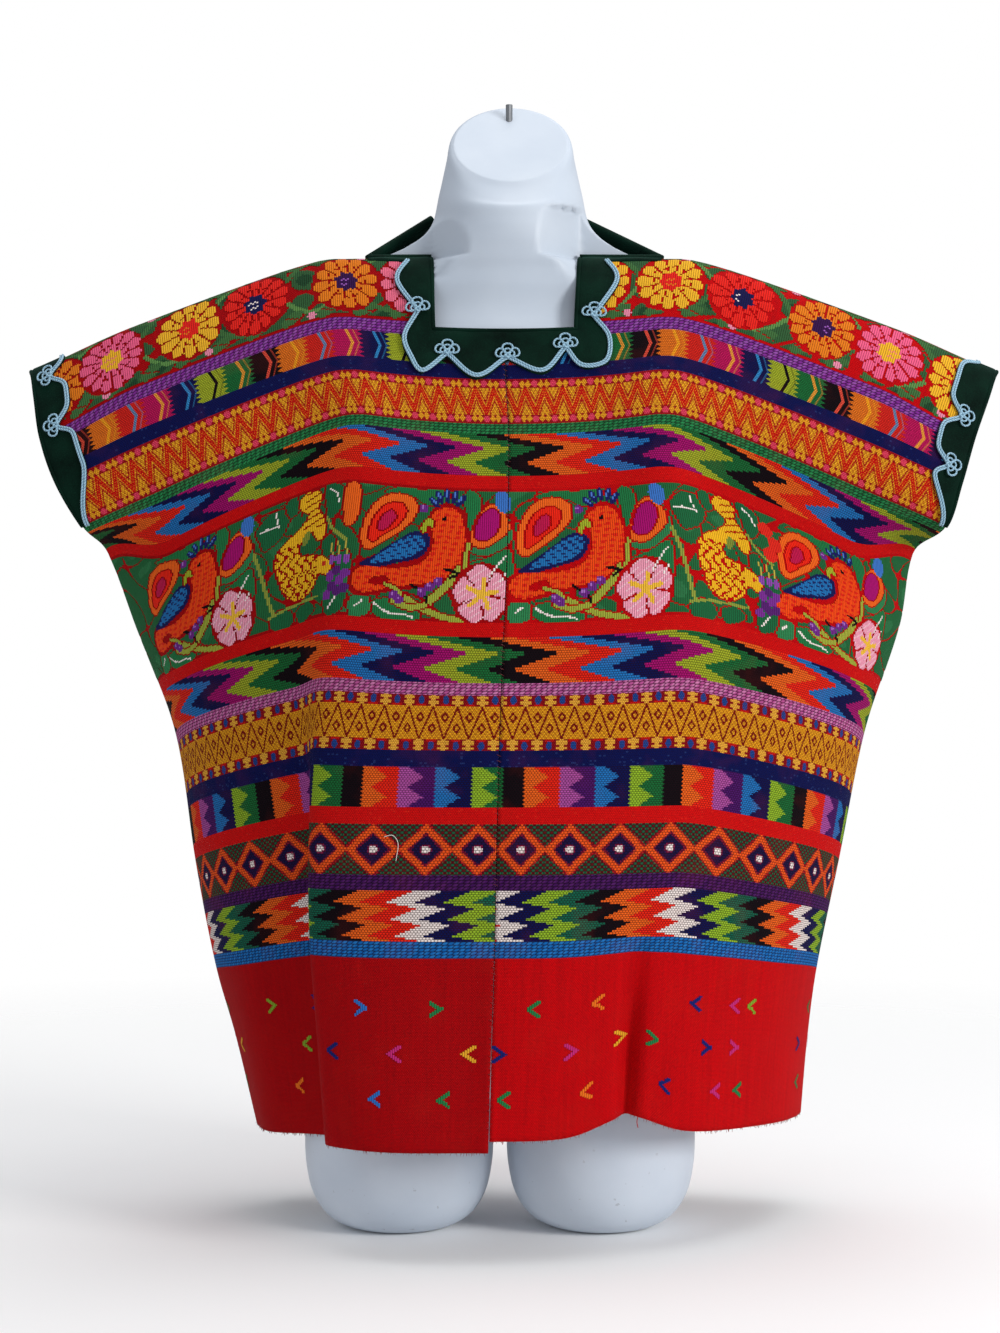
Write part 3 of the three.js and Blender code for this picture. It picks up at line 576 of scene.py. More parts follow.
class Value:
    """A number that varies over a surface. Python's operators on it add Math nodes."""

    def __init__(self, graph: Graph, socket: object) -> None:
        """Wraps a socket of that graph."""
        self.graph = graph
        self.socket = socket

    def _math(self, operation: str, *others: object, clamp: bool = False) -> "Value":
        """Adds one Math node on this value and the others."""
        inputs = {f"i{k}": value for k, value in enumerate((self, *others))}
        settings = {"operation": operation, "use_clamp": clamp}
        return Value(self.graph, self.graph.add("ShaderNodeMath", settings, **inputs).outputs[0])

    def _reflected(self, operation: str, other: object) -> "Value":
        """One Math node with the other operand first."""
        inputs = {"i0": other, "i1": self}
        node = self.graph.add("ShaderNodeMath", {"operation": operation}, **inputs)
        return Value(self.graph, node.outputs[0])

    def __add__(self, other: object) -> "Value":
        """Sum."""
        return self._math("ADD", other)

    def __radd__(self, other: object) -> "Value":
        """Sum with this value second."""
        return self._reflected("ADD", other)

    def __sub__(self, other: object) -> "Value":
        """Difference."""
        return self._math("SUBTRACT", other)

    def __rsub__(self, other: object) -> "Value":
        """Difference with this value second."""
        return self._reflected("SUBTRACT", other)

    def __mul__(self, other: object) -> "Value":
        """Product."""
        return self._math("MULTIPLY", other)

    def __rmul__(self, other: object) -> "Value":
        """Product with this value second."""
        return self._reflected("MULTIPLY", other)

    def __truediv__(self, other: object) -> "Value":
        """Quotient."""
        return self._math("DIVIDE", other)

    def __rtruediv__(self, other: object) -> "Value":
        """Quotient with this value second."""
        return self._reflected("DIVIDE", other)

    def __pow__(self, other: object) -> "Value":
        """Power."""
        return self._math("POWER", other)

    def __lt__(self, other: object) -> "Value":
        """1 where this value is less."""
        return self._math("LESS_THAN", other)

    def __gt__(self, other: object) -> "Value":
        """1 where this value is greater."""
        return self._math("GREATER_THAN", other)

    def __abs__(self) -> "Value":
        """Size without sign."""
        return self._math("ABSOLUTE")

    def floor(self) -> "Value":
        """The whole number below."""
        return self._math("FLOOR")

    def fraction(self) -> "Value":
        """What is over the whole number below."""
        return self._math("FRACT")

    def sine(self) -> "Value":
        """Sine of an angle in radians."""
        return self._math("SINE")

    def least(self, other: object) -> "Value":
        """The smaller of the two."""
        return self._math("MINIMUM", other)

    def most(self, other: object) -> "Value":
        """The larger of the two."""
        return self._math("MAXIMUM", other)

    def held(self) -> "Value":
        """This value held between 0 and 1."""
        return self._math("ADD", 0.0, clamp=True)

    def snapped(self, step: float) -> "Value":
        """The middle of the step of that size that this value is in."""
        return ((self / step).floor() + 0.5) * step

    def wave(self) -> "Value":
        """A triangle wave of period 1, from -1 at whole numbers to 1 halfway."""
        return 1 - abs(self.fraction() * 2 - 1) * 2


# The woven bands

class Pattern(Enum):
    """How a band across the panels is woven."""

    GROUND = "plain red ground"
    RIB = "plain narrow band"
    TWILL = "chunky slanted dashes"
    TEETH = "blocks with toothed edges and a bent line in each"
    ZIGZAG = "yellow with a red zigzag"
    LIGHTNING = "stepped doubled arrows"
    GOLD = "golden with a thin zigzag and small diamonds"
    BLOCKS = "pairs of a light and a dark colour"
    DIAMONDS = "outlined diamonds"
    FLAMES = "three tiers of slanted points"


RED, NAVY, ORANGE, MAGENTA = srgb("D40005"), srgb("020F4A"), srgb("F2641A"), srgb("A80C6C")
BLUE, OLIVE, GREEN, BLACK = srgb("1F74BC"), srgb("A2AE28"), srgb("146A34"), srgb("050407")
YELLOW, PURPLE, MAUVE, WHITE = srgb("F8AE22"), srgb("4A1464"), srgb("B050A0"), srgb("F4E6E0")
TEAL, LIME, SCARLET, STEEL = srgb("0B6048"), srgb("92B82A"), srgb("F0240E"), srgb("6788B0")
GOLD, MAROON = srgb("F6AA1C"), srgb("7E0C08")


@dataclass(frozen=True)
class Band:
    """One band across the panels: its top below the shoulder fold, its depth and its weave."""

    name: str
    top: float
    deep: float
    pattern: Pattern
    tints: tuple = ()


# A twill band's tints are its body, its lighter beads and the painted shade of the gaps between beads.
BANDS = (
    Band("ground", 0, 62, Pattern.GROUND),
    Band("twill_purple", 62, 10, Pattern.TWILL, (srgb("7A2B8C"), srgb("A264B4"), srgb("3A1046"))),
    Band("teeth", 72, 21, Pattern.TEETH),
    Band("rib_navy", 93, 11, Pattern.RIB, (NAVY, srgb("2F4A86"))),
    Band("zigzag", 104, 35, Pattern.ZIGZAG),
    Band("twill_green", 139, 8, Pattern.TWILL, (srgb("1B6B3A"), srgb("2F9455"), srgb("0A2E1C"))),
    Band("lightning_upper", 147, 33, Pattern.LIGHTNING),
    Band("rib_red", 180, 10, Pattern.RIB, (srgb("D20A08"), srgb("E8301C"))),
    Band("ground", 190, 97, Pattern.GROUND),
    Band("rib_red", 287, 10, Pattern.RIB, (srgb("D20A08"), srgb("E8301C"))),
    Band("lightning_lower", 297, 33, Pattern.LIGHTNING),
    Band("twill_mauve", 330, 9, Pattern.TWILL, (srgb("B0508C"), srgb("DC94BE"), srgb("5A1440"))),
    Band("gold", 339, 40, Pattern.GOLD),
    Band("rib_navy", 379, 12, Pattern.RIB, (NAVY, srgb("2F4A86"))),
    Band("blocks", 391, 29, Pattern.BLOCKS),
    Band("rib_red", 420, 12, Pattern.RIB, (srgb("D20A08"), srgb("E8301C"))),
    Band("diamonds", 432, 36, Pattern.DIAMONDS),
    Band("twill_plum", 468, 11, Pattern.TWILL, (srgb("3C1050"), srgb("5A2468"), srgb("18051E"))),
    Band("flames", 479, 36, Pattern.FLAMES),
    Band("twill_blue", 515, 12, Pattern.TWILL, (srgb("0C5FA8"), srgb("2C7EC4"), srgb("052650"))),
    Band("ground", 527, 137, Pattern.GROUND),
)


@dataclass
class ClothDyer:
    """Makes the cloth's materials, one for each kind of band."""

    finishes: dict[str, bpy.types.Material] = field(default_factory=dict)

    @staticmethod
    def beads(u: Value, v: Value, wide: float, high: float) -> Value:
        """Thread beads in brick order: (1 - a^2)(1 - b^2), a and b running from -1 to 1 over a bead."""
        row = (v / high).floor()
        a = (u / wide + (row * 0.5).fraction()).fraction() * 2 - 1
        b = (v / high).fraction() * 2 - 1
        return (1 - a * a) * (1 - b * b)

    def finish(self, graph: Graph, colour: object, bead: Value, gap: float, relief: float) -> None:
        """Paints shade into the gaps between threads, darkens fine noise specks and feeds the shader.

        Args:
            graph: the material. colour: its dyed colour. bead: 0 in the gaps and 1 on the threads.
            gap: how deep the painted shade in the gaps is. relief: the bump's depth in millimetres.
        """
        # Painted shade: the gaps between thread beads are mixed towards black by gap.
        threads = (bead * 1.35).held() ** 0.9
        dark = graph.mix(gap, colour, (0.008, 0.001, 0.004))
        woven = graph.mix(threads, dark, colour)
        lumps = graph.noise(38.0, 3.0)
        faded = graph.mix(((lumps - 0.5) * 0.2).held(), woven, srgb("C8402C"))
        streaks = graph.noise(900.0, 1.0)
        # Fine noise specks mixed towards black; the same noise is low in the bump there.
        dark_specks = graph.mix((0.62 - streaks).held() * 0.7, faded, (0.008, 0.001, 0.003))
        graph.bump(bead + streaks * 0.35, 0.75, relief * MM)
        graph.dress(dark_specks, 0.74 + lumps * 0.2, Specular_IOR_Level=0.07)

    def ground(self, graph: Graph, u: Value, v: Value, band: Band) -> tuple[object, Value, float]:
        """The red ground: fine upright ribs with slight streaks of the dye, and the whole left panel darkened
        as painted shade, since the light falls from the right.
        """
        rib = self.beads(u, v, 1.65, 0.95)
        at = graph.add("ShaderNodeCombineXYZ", None, X=u * 0.35, Y=v * 0.012).outputs[0]
        streak = graph.noise(1.0, 2.0, at)
        red = graph.mix((streak - 0.35).held() * 0.9, RED, srgb("A00208"))
        # Painted shade: the left panel (u < 0) is mixed towards a darker red.
        return graph.mix((u < 0) * 0.45, red, srgb("7C0004")), rib, 0.5

    def rib(self, graph: Graph, u: Value, v: Value, band: Band) -> tuple[object, Value, float]:
        """A narrow band of one colour with scattered lighter picks."""
        at = graph.add("ShaderNodeCombineXYZ", None, X=u.snapped(1.65), Y=v.snapped(1.2)).outputs[0]
        fleck = graph.noise(0.9, 0.0, at) > 0.72
        return graph.mix(fleck * 0.35, band.tints[0], band.tints[1]), self.beads(u, v, 1.65, 1.2), 0.4

    def twill(self, graph: Graph, u: Value, v: Value, band: Band) -> tuple[object, Value, float]:
        """Slanted beads, every second one lighter, with painted shade in the gaps."""
        bead = self.beads(u + v * 0.9, v, 3.9, 2.3)
        every = ((u + v * 0.9) / 7.8).fraction() > 0.5
        body = graph.mix(every * 0.45, band.tints[0], band.tints[1])
        # Painted shade: the gaps between beads take the band's third, darker tint.
        return graph.mix((bead * 2.2).held(), band.tints[2], body), bead, 0.55

    @staticmethod
    def lace(x: Value, t: Value, wide: float, high: float) -> Value:
        """A checker of cells of that size: 1 where floor(x / wide) + floor(t / high) is odd."""
        return (((x / wide).floor() + (t / high).floor()) * 0.5).fraction() > 0.25

    @staticmethod
    def turn(index: Value, count: int) -> Value:
        """A whole number's remainder by count."""
        return index - (index / count).floor() * count

    def teeth(self, graph: Graph, u: Value, v: Value, band: Band) -> tuple[object, Value, float]:
        """Blocks of 21.9 mm with toothed edges: floor((u - tooth) / 21.9), and a bent line in each."""
        block, start = 21.9, 53.9
        bend = (1 - abs((v - band.top) / band.deep * 2 - 1)) * 4.6
        base = ((u - (v / 3.5).wave() * 2.2 + start) / block).floor()
        line = (u - bend + start) / block
        bases = (BLACK, srgb("E8731B"), srgb("DB2418"), srgb("C01257"), NAVY, OLIVE, GREEN)
        lines = (srgb("E8503C"), srgb("FFA51E"), STEEL, srgb("F5A03A"), srgb("2F8CCB"), BLACK, srgb("E99A35"))
        ground = graph.pick(self.turn(base, 7), bases)
        stripe = graph.pick(self.turn(line.floor(), 7), lines)
        beside = (abs(line.fraction() - 0.74) < 0.03) * 0.75
        body = graph.mix(beside, ground, graph.mix(0.5, stripe, ground))
        return graph.mix(abs(line.fraction() - 0.5) < 0.058, body, stripe), self.beads(u, v, 1.65, 1.3), 0.75

    def zigzag(self, graph: Graph, u: Value, v: Value, band: Band) -> tuple[object, Value, float]:
        """Red and orange zigzags about 17.5 + 9 wave(u / 15) on yellow, pink balls and florets each side."""
        pitch, centre = 15, 17.5
        x, t = u.snapped(0.8), (v - band.top).snapped(0.8)
        off_line, side = abs(t - centre - (x / pitch).wave() * 9.0), abs(t - centre)
        body = graph.mix(off_line < 5.0, YELLOW, srgb("F0701A"))
        body = graph.mix(off_line < 3.9, body, srgb("D01408"))
        body = graph.mix(off_line < 0.5, body, srgb("F07018"))
        body = graph.mix(abs(off_line - 8.0) < 1.4, body, srgb("B80E12"))
        body = graph.mix(self.lace(x, t, 1.6, 2.4) * (off_line > 5.0) * 0.55, body, srgb("A8200E"))
        at = ((x / pitch).fraction() - 0.5) * pitch
        floret = (abs(abs(at) - 5.2) + abs(side - 13.2) * 0.8) < 2.6
        body = graph.mix(side > 10.6, body, graph.mix(floret, srgb("9E0C14"), srgb("EFA020")))
        ball = at * at + (side - 13.8) ** 2 < 6.6
        return graph.mix(ball, body, srgb("E8415E")), self.beads(u, v, 1.65, 1.3), 0.62

    def lightning(self, graph: Graph, u: Value, v: Value, band: Band) -> tuple[object, Value, float]:
        """Eight colours of 23.4 mm along u - 17 wave(t / 23), with a longer first stroke above t = 11."""
        t = (v - band.top).snapped(1.65)
        phase = 24.0 if band.top > ARMHOLE_DEPTH else 30.0
        w = u - (t / 23.0).wave() * 17.0 + ((11 - t) * 2.3).most(0.0) - phase
        colours = (ORANGE, SCARLET, BLUE, NAVY, MAGENTA, OLIVE, GREEN, BLACK)
        return graph.pick(self.turn((w / 23.4).floor(), 8), colours), self.beads(u, v, 1.9, 1.65), 0.85

    def gold(self, graph: Graph, u: Value, v: Value, band: Band) -> tuple[object, Value, float]:
        """Thin dark-red zigzags 20 + 11.5 wave(u / 17.5) on gold, a diamond in each field, blue beads."""
        pitch, centre = 17.5, 20
        x, t = u.snapped(0.8), (v - band.top).snapped(0.8)
        off_line = abs(t - centre - (x / pitch).wave() * 11.5)
        field_at, side = x / (pitch / 2) + 0.5, abs(t - centre)
        across = abs((field_at.fraction() - 0.5) * (pitch / 2))
        lift = abs(t - 24 + (field_at.floor() * 0.5).fraction() * 16)
        ring = abs(across / 2.4 + lift / 3.2 - 1) < 0.36
        body = graph.mix(self.lace(x, t, 1.6, 1.6) * 0.5, GOLD, srgb("9C2A0A"))
        body = graph.mix((off_line < 1.9).most(ring), body, MAROON)
        turn = x / pitch + (t > centre) * 0.5
        stem = abs(((turn + 0.5).fraction() - 0.5) * pitch)
        post = abs((turn.fraction() - 0.5) * pitch)
        arms = (abs(side - 14.5) < 1.3).most(abs(side - 18.4) < 0.9) * (stem < 3.9)
        edge = graph.mix((post < 3.4) * (side < 13.6), srgb("8E0A14"), srgb("CE120C"))
        body = graph.mix(side > 11.6, body, graph.mix(arms.most(stem < 1.7), edge, srgb("F2AE3A")))
        bead = (post / 2.2) ** 2 + ((side - 16.6) / 3.1) ** 2 < 1
        return graph.mix(bead, body, srgb("1C4690")), self.beads(u, v, 1.65, 1.2), 0.7

    def blocks(self, graph: Graph, u: Value, v: Value, band: Band) -> tuple[object, Value, float]:
        """Pairs of 25.5 mm, light where x < 12 + 5.5 wave(t / 14.5), dark beyond; the fifth is black, 15 mm."""
        pair, repeat, start = 25.5, 117.0, 18.0
        t = (v - band.top).snapped(1.5)
        w = ((u - start - (v / 2.9).wave() * 0.9) / repeat).fraction() * repeat / pair
        light = graph.pick(w.floor(), (ORANGE, MAUVE, BLUE, LIME, BLACK))
        dark = graph.pick(w.floor(), (SCARLET, PURPLE, NAVY, GREEN, BLACK))
        beyond = w.fraction() * pair > (t / 14.5).wave() * 5.5 + 12.0
        return graph.mix(beyond, light, dark), self.beads(u, v, 2.2, 1.5), 0.85

    def diamonds(self, graph: Graph, u: Value, v: Value, band: Band) -> tuple[object, Value, float]:
        """Diamonds |x| / 18 + |t| / 18 = 1: orange outline, navy inside, a white dot, green corners."""
        pitch = 37
        x, t = u.snapped(1.4) + (u * 0.021).sine() * 4, (v - band.top).snapped(1.2) - 18
        across = ((x / pitch).fraction() - 0.5) * pitch
        d, dot = abs(across) / 18.5 + abs(t) / 17.5, across ** 2 + t ** 2
        body = graph.mix(self.lace(u, v, 2.5, 1.9), srgb("1A5A3C"), srgb("5E0A10"))
        for inside, colour in (
            (d < 1.14, srgb("A3121A")), (d < 1.05, srgb("F0561A")), (d < 0.70, srgb("7C0F2C")),
            (d < 0.60, srgb("150F3E")), (dot < 16.0, srgb("7C1740")), (dot < 7.5, WHITE),
        ):
            body = graph.mix(inside, body, colour)
        return body, self.beads(u, v, 2.5, 1.9), 0.85

    def flames(self, graph: Graph, u: Value, v: Value, band: Band) -> tuple[object, Value, float]:
        """Seven colours of 19.2 mm along u + 19 min(q / 0.7, (1 - q) / 0.3), q running over each tier."""
        tier = (v - band.top).snapped(1.5) / 12
        q = tier.fraction()
        w = u + (q / 0.7).least((1 - q) / 0.3) * 19.0 - tier.floor() * 3.0 + 20.0 + (u < 0) * 58.0
        colours = (SCARLET, WHITE, NAVY, LIME, TEAL, BLACK, ORANGE)
        return graph.pick(self.turn((w / 19.2).floor(), 7), colours), self.beads(u, v, 2.3, 1.6), 0.9

    def of(self, band: Band) -> bpy.types.Material:
        """The material of a band, made once for each name."""
        if band.name not in self.finishes:
            graph = Graph("cloth_" + band.name)
            u, v = graph.place()
            weave: Callable = {
                Pattern.GROUND: self.ground, Pattern.RIB: self.rib, Pattern.TWILL: self.twill,
                Pattern.TEETH: self.teeth, Pattern.ZIGZAG: self.zigzag, Pattern.LIGHTNING: self.lightning,
                Pattern.GOLD: self.gold, Pattern.BLOCKS: self.blocks, Pattern.DIAMONDS: self.diamonds,
                Pattern.FLAMES: self.flames,
            }[band.pattern]
            colour, bead, gap = weave(graph, u, v, band)
            self.finish(graph, colour, bead, gap, 0.35)
            self.finishes[band.name] = graph.material
        return self.finishes[band.name]


@dataclass(frozen=True)
class FloatThread:
    """The brocading threads: their colour is laid cell by cell, cut by the ground's upright threads, and
    darkened towards each cell's edges as painted shade where the floats dip.
    """

    cell: float = 1.65

    def material(self) -> bpy.types.Material:
        """Makes the material."""
        graph = Graph("brocade_floats")
        u, v = graph.place()
        tint = graph.add("ShaderNodeAttribute", {"attribute_name": "thread"}).outputs["Vector"]
        line = (abs((u / self.cell).fraction() - 0.5) * 2) ** 3
        pick = abs((v / 0.55).fraction() - 0.5) * 2
        # Painted shade: towards each cell's edge the float's colour is mixed towards black, where the bump
        # dips.
        dark = graph.mix(0.75, tint, (0.012, 0.001, 0.003))
        colour = graph.mix(line, tint, dark)
        colour = graph.mix((graph.noise(700.0, 1.0) - 0.4).held() * 0.5, colour, dark)
        graph.bump((1 - line) + pick * 0.2, 0.8, 0.3 * MM)
        graph.dress(colour, 0.75, Specular_IOR_Level=0.07)
        return graph.material


@dataclass(frozen=True)
class Velvet:
    """Dark green pile: darker as painted shade where its crushed bump is low, lighter as a painted highlight on
    the raised nap, with a pale rim light from the sheen.
    """

    def material(self) -> bpy.types.Material:
        """Makes the material."""
        graph = Graph("velvet_green")
        crush_and_shade = graph.noise(45.0, 3.0)
        nap = graph.noise(1500.0, 2.0)
        # Painted shade and highlight: the colour darkens where the crush bump is low and lightens where the nap
        # bump is high.
        colour = graph.mix((crush_and_shade * 1.8 - 0.4).held(), srgb("010C08"), srgb("042419"))
        colour = graph.mix((nap - 0.5).held() * 0.7, colour, srgb("0D4A35"))
        graph.bump(nap * 0.5 + crush_and_shade * 4.0, 0.6, 0.5 * MM)
        graph.dress(colour, 0.85 - crush_and_shade * 0.2, Sheen_Weight=0.1, Sheen_Roughness=0.35,
                    Sheen_Tint=(0.12, 0.6, 0.42, 1.0), Specular_IOR_Level=0.06)
        return graph.material


@dataclass(frozen=True)
class TwistedCord:
    """Two-ply cord: slanted plies along its length, darkened towards the grooves between them as painted shade.
    """

    name: str = "cord_blue"
    light: tuple = srgb("9CC4D8")
    # dark is the painted shade of the grooves between plies.
    dark: tuple = srgb("3C6F92")

    def material(self) -> bpy.types.Material:
        """Makes the material."""
        graph = Graph(self.name)
        run, turn = graph.place()
        ply = abs(((run / 2.3 + turn * 2).fraction() - 0.5) * 2)
        fuzz = graph.noise(1400.0, 1.0)
        graph.bump(1 - ply * ply + fuzz * 0.3, 0.9, 0.3 * MM)
        # Painted shade: the colour turns to dark towards each groove between plies, where the bump is low.
        graph.dress(graph.mix(ply * ply * 0.8, self.light, self.dark), 0.55 + fuzz * 0.3, Sheen_Weight=0.3)
        return graph.material


@dataclass(frozen=True)
class FormShell:
    """Blow-moulded plastic: pale blue-grey with faint mottling and scuffs low down."""

    def material(self) -> bpy.types.Material:
        """Makes the material."""
        graph = Graph("form_plastic")
        at = graph.add("ShaderNodeTexCoord").outputs["Object"]
        z = Value(graph, graph.add("ShaderNodeSeparateXYZ", None, Vector=at).outputs[2])
        mottle = graph.noise(16.0, 4.0)
        colour = graph.mix((mottle * 1.6 - 0.4).held(), srgb("BAC5D3"), srgb("CBD4DF"))
        scuff = (graph.noise(130.0, 3.0) > 0.71) * (1 - (z * 9).held())
        colour = graph.mix(scuff * 0.5, colour, srgb("7D8087"))
        grain = graph.noise(900.0, 2.0)
        graph.bump(grain + mottle * 6.0, 0.25, 0.12 * MM)
        graph.dress(colour, 0.4 + grain * 0.14, Specular_IOR_Level=0.42, Coat_Roughness=0.4)
        return graph.material


@dataclass(frozen=True)
class HookWire:
    """Plain drawn steel wire with fine lines along it."""

    def material(self) -> bpy.types.Material:
        """Makes the material."""
        graph = Graph("hook_wire")
        at = graph.add("ShaderNodeTexCoord").outputs["Object"]
        drawn = graph.add("ShaderNodeMapping", None, Vector=at, Scale=(1.0, 1.0, 0.03)).outputs[0]
        lines = graph.noise(4000.0, 2.0, drawn)
        graph.bump(lines, 0.3, 0.05 * MM)
        graph.dress(graph.mix(lines, srgb("6A6D72"), srgb("A9ACB0")), 0.25 + lines * 0.25, Metallic=1.0)
        return graph.material


# Brocade figures

class Loom:
    """A field of weave cells on one half of a panel, into which figures are laid thread by thread."""

    cell = 1.65
    pick = 1.1

    def __init__(self, side: Side, layer: Layer, top: float, deep: float) -> None:
        """Strings up the field.

        Args:
            side: the panel. layer: its front or back. top, deep: the field below the shoulder fold.
        """
        self.side, self.layer, self.top = side, layer, top
        self.columns = int(PANEL_WIDTH / self.cell)
        self.rows = int(round(deep / self.pick))
        self.high = deep / self.rows
        across = (np.arange(self.columns) + 0.5) * self.cell
        down = (np.arange(self.rows) + 0.5) * self.high
        self.across, self.v = np.meshgrid(across, down)
        self.u = self.across * side.value
        self.on = np.zeros(self.u.shape, dtype=bool)
        self.tint = np.zeros((*self.u.shape, 3))

    def lay(self, inside: Array, colour: Sequence[float]) -> None:
        """Lays threads of a colour in the cells inside a shape."""
        self.on |= inside
        self.tint[inside] = colour

    def outlined(self, inside: Array, colour: Sequence[float]) -> None:
        """Lays a shape after baring the cells next to it, so that the red ground outlines it."""
        wide = np.pad(inside, 1)
        near = wide[:-2, 1:-1] | wide[2:, 1:-1] | wide[1:-1, :-2] | wide[1:-1, 2:]
        self.skip(near)
        self.lay(inside, colour)

    def foliage(self, dense: float, green: Sequence[float], dark: Sequence[float]) -> None:
        """Fills the field with leafy green parted by wavy bare lines: |sin(a) + sin(b)| > 1 - dense."""
        a = self.u / 7.5 + 1.6 * np.sin(self.v / 9.0) + 0.7 * np.sin(self.u / 23.0)
        b = self.v / 6.5 + 1.4 * np.sin(self.u / 12.0 + 1.0)
        lobes = np.abs(np.sin(a) + np.sin(b))
        rim = (self.v < 2.2) | (self.v > self.v.max() - 2.2)
        self.lay((lobes > 1 - dense) & ~rim, green)
        self.lay((lobes > 1.35) & ~rim & (np.sin(self.u / 31.0 + self.v / 17.0) > 0.1), dark)

    def skip(self, inside: Array) -> None:
        """Leaves the ground bare in the cells inside a shape."""
        self.on &= ~inside

    def oval(self, x: float, y: float, wide: float, high: float, turn: float = 0.0) -> Array:
        """Cells where (a / wide)^2 + (b / high)^2 < 1, in axes turned by that many degrees."""
        c, s = np.cos(np.radians(turn)), np.sin(np.radians(turn))
        dx, dy = self.u - x, self.v - y
        return ((dx * c + dy * s) / wide) ** 2 + ((dy * c - dx * s) / high) ** 2 < 1

    def inside(self, points: Array) -> Array:
        """Cells inside a closed smooth outline: those with an odd number of its edges to their right."""
        line = curve_through(points, 6, closed=True)
        crossed = np.zeros(self.u.shape, dtype=bool)
        for (x0, y0), (x1, y1) in zip(line, np.roll(line, -1, 0)):
            spans = (y0 > self.v) != (y1 > self.v)
            rise = y1 - y0 if y1 != y0 else 1e-9
            crossed ^= spans & (self.u < x0 + (self.v - y0) * (x1 - x0) / rise)
        return crossed

    def stroke(self, points: Array | Sequence[tuple[float, float]], width: float) -> Array:
        """Cells nearer than half the width to a smooth line."""
        line = curve_through(points, 4)
        near = np.full(self.u.shape, np.inf)
        for (x0, y0), (x1, y1) in zip(line[:-1], line[1:]):
            dx, dy = x1 - x0, y1 - y0
            t = np.clip(((self.u - x0) * dx + (self.v - y0) * dy) / (dx * dx + dy * dy + 1e-9), 0, 1)
            near = np.minimum(near, np.hypot(self.u - x0 - t * dx, self.v - y0 - t * dy))
        return near < width / 2

    def patch(self) -> Patch:
        """The laid cells as a low relief: higher where all four cells round a corner are laid."""
        fold = (self.top + self.v < SLIT_GAP + 1.5) & (self.across < self.side.slit + 1)
        hole = (self.top + self.v < NECK_DROP + 1) & (self.across < NECK_HALF + 1)
        self.skip(fold | hole)
        around = np.pad(self.on, 1).astype(float)
        full = (around[:-1, :-1] + around[1:, :-1] + around[:-1, 1:] + around[1:, 1:]) / 4
        edges = np.arange(self.columns + 1) * self.cell
        across, down = np.meshgrid(edges, np.arange(self.rows + 1) * self.high)
        offset = CLOTH_HALF + 0.12 + 0.33 * full
        points = DRAPE.lifted(self.side, self.layer, across, down + self.top, offset)
        index = np.arange(across.size).reshape(across.shape)
        j, i = np.nonzero(self.on)
        quads = np.stack([index[j, i], index[j + 1, i], index[j + 1, i + 1], index[j, i + 1]], -1)
        if self.side.value * self.layer.value > 0:
            quads = quads[:, ::-1]
        used, flat = np.unique(quads, return_inverse=True)
        uv = np.stack([across.ravel() * self.side.value, down.ravel() + self.top], -1)[used]
        return Patch(points.reshape(-1, 3)[used], flat.reshape(quads.shape).tolist(), uv,
                     np.zeros(len(quads)), self.tint[j, i])


@dataclass(frozen=True)
class Flower:
    """A round flower: petals r < R (0.8 + 0.2 |cos(n a / 2)|), parted by bare cells, round a speckled eye."""

    x: float
    y: float
    petal: tuple
    eye: tuple
    speck: tuple
    radius: float = 26.0
    petals: int = 13

    def lay(self, loom: Loom) -> None:
        """Lays the flower."""
        dx, dy = loom.u - self.x, (loom.v - self.y) * 1.03
        r, a = np.hypot(dx, dy), np.arctan2(dy, dx) + 0.3 + self.x * 0.01
        half = np.abs(np.cos(self.petals * a / 2))
        outer = self.radius * (0.78 + 0.22 * half**0.7) * (1 + 0.05 * np.sin(3 * a + self.x))
        parting = (half * r * np.pi / self.petals < 1.0) & (r > self.radius * 0.36)
        loom.skip(r < self.radius * 1.06)
        loom.lay((r < outer) & ~parting, self.petal)
        ring = np.abs(r - self.radius * (0.56 + 0.05 * np.sin(5 * a))) < 0.7
        loom.skip(ring & (np.sin(self.petals * a) > -0.2))
        loom.lay(r < self.radius * 0.33 * (1 + 0.12 * np.sin(7 * a + self.x)), self.eye)
        dots = (r < self.radius * 0.2) & (np.sin(loom.u * 1.7 + self.x) * np.sin(loom.v * 2.1) > 0.55)
        loom.lay(dots, self.speck)


@dataclass(frozen=True)
class Vine:
    """The green scroll between the flowers: a line y = 31 + 23 sin(u / 18 + phase) with pairs of leaves."""

    phase: float

    def lay(self, loom: Loom) -> None:
        """Lays the stem, its curls and its leaves."""
        green, light = srgb("3E6B3A"), srgb("5B8A48")
        y = 31 + 23 * np.sin(loom.u / 18 + self.phase)
        slope = np.sqrt(1 + (23 / 18 * np.cos(loom.u / 18 + self.phase)) ** 2)
        stem = np.abs(loom.v - y) / slope < 2.1
        counter = np.abs(loom.v - (62 - y)) / slope < 1.7
        loom.lay(counter, light)
        loom.lay(stem, green)
        for k in range(-14, 15):
            at = k * 28.3 + self.phase * 9
            for high, turn in ((7.0, 25.0), (55.0, -25.0)):
                loom.lay(loom.oval(at, high, 9.5, 4.2, turn), green)
                loom.skip(loom.stroke([(at - 7, high - 2), (at + 7, high + 2)], 0.9))
        for k in range(-9, 10):
            loom.lay(loom.oval(k * 41.0 + 13, 57.0 - 50.0 * (k % 2), 3.4, 2.6), srgb("E98BA6"))


def spots(text: str, x: float = 0.0) -> Array:
    """Points written as "x y, x y" in millimetres, moved across by x."""
    return np.array([[float(number) for number in pair.split()] for pair in text.split(",")]) + (x, 0.0)


LEAF, DARK_LEAF, SCALE_GREEN = srgb("1D7440"), srgb("2C7F4C"), srgb("17633A")
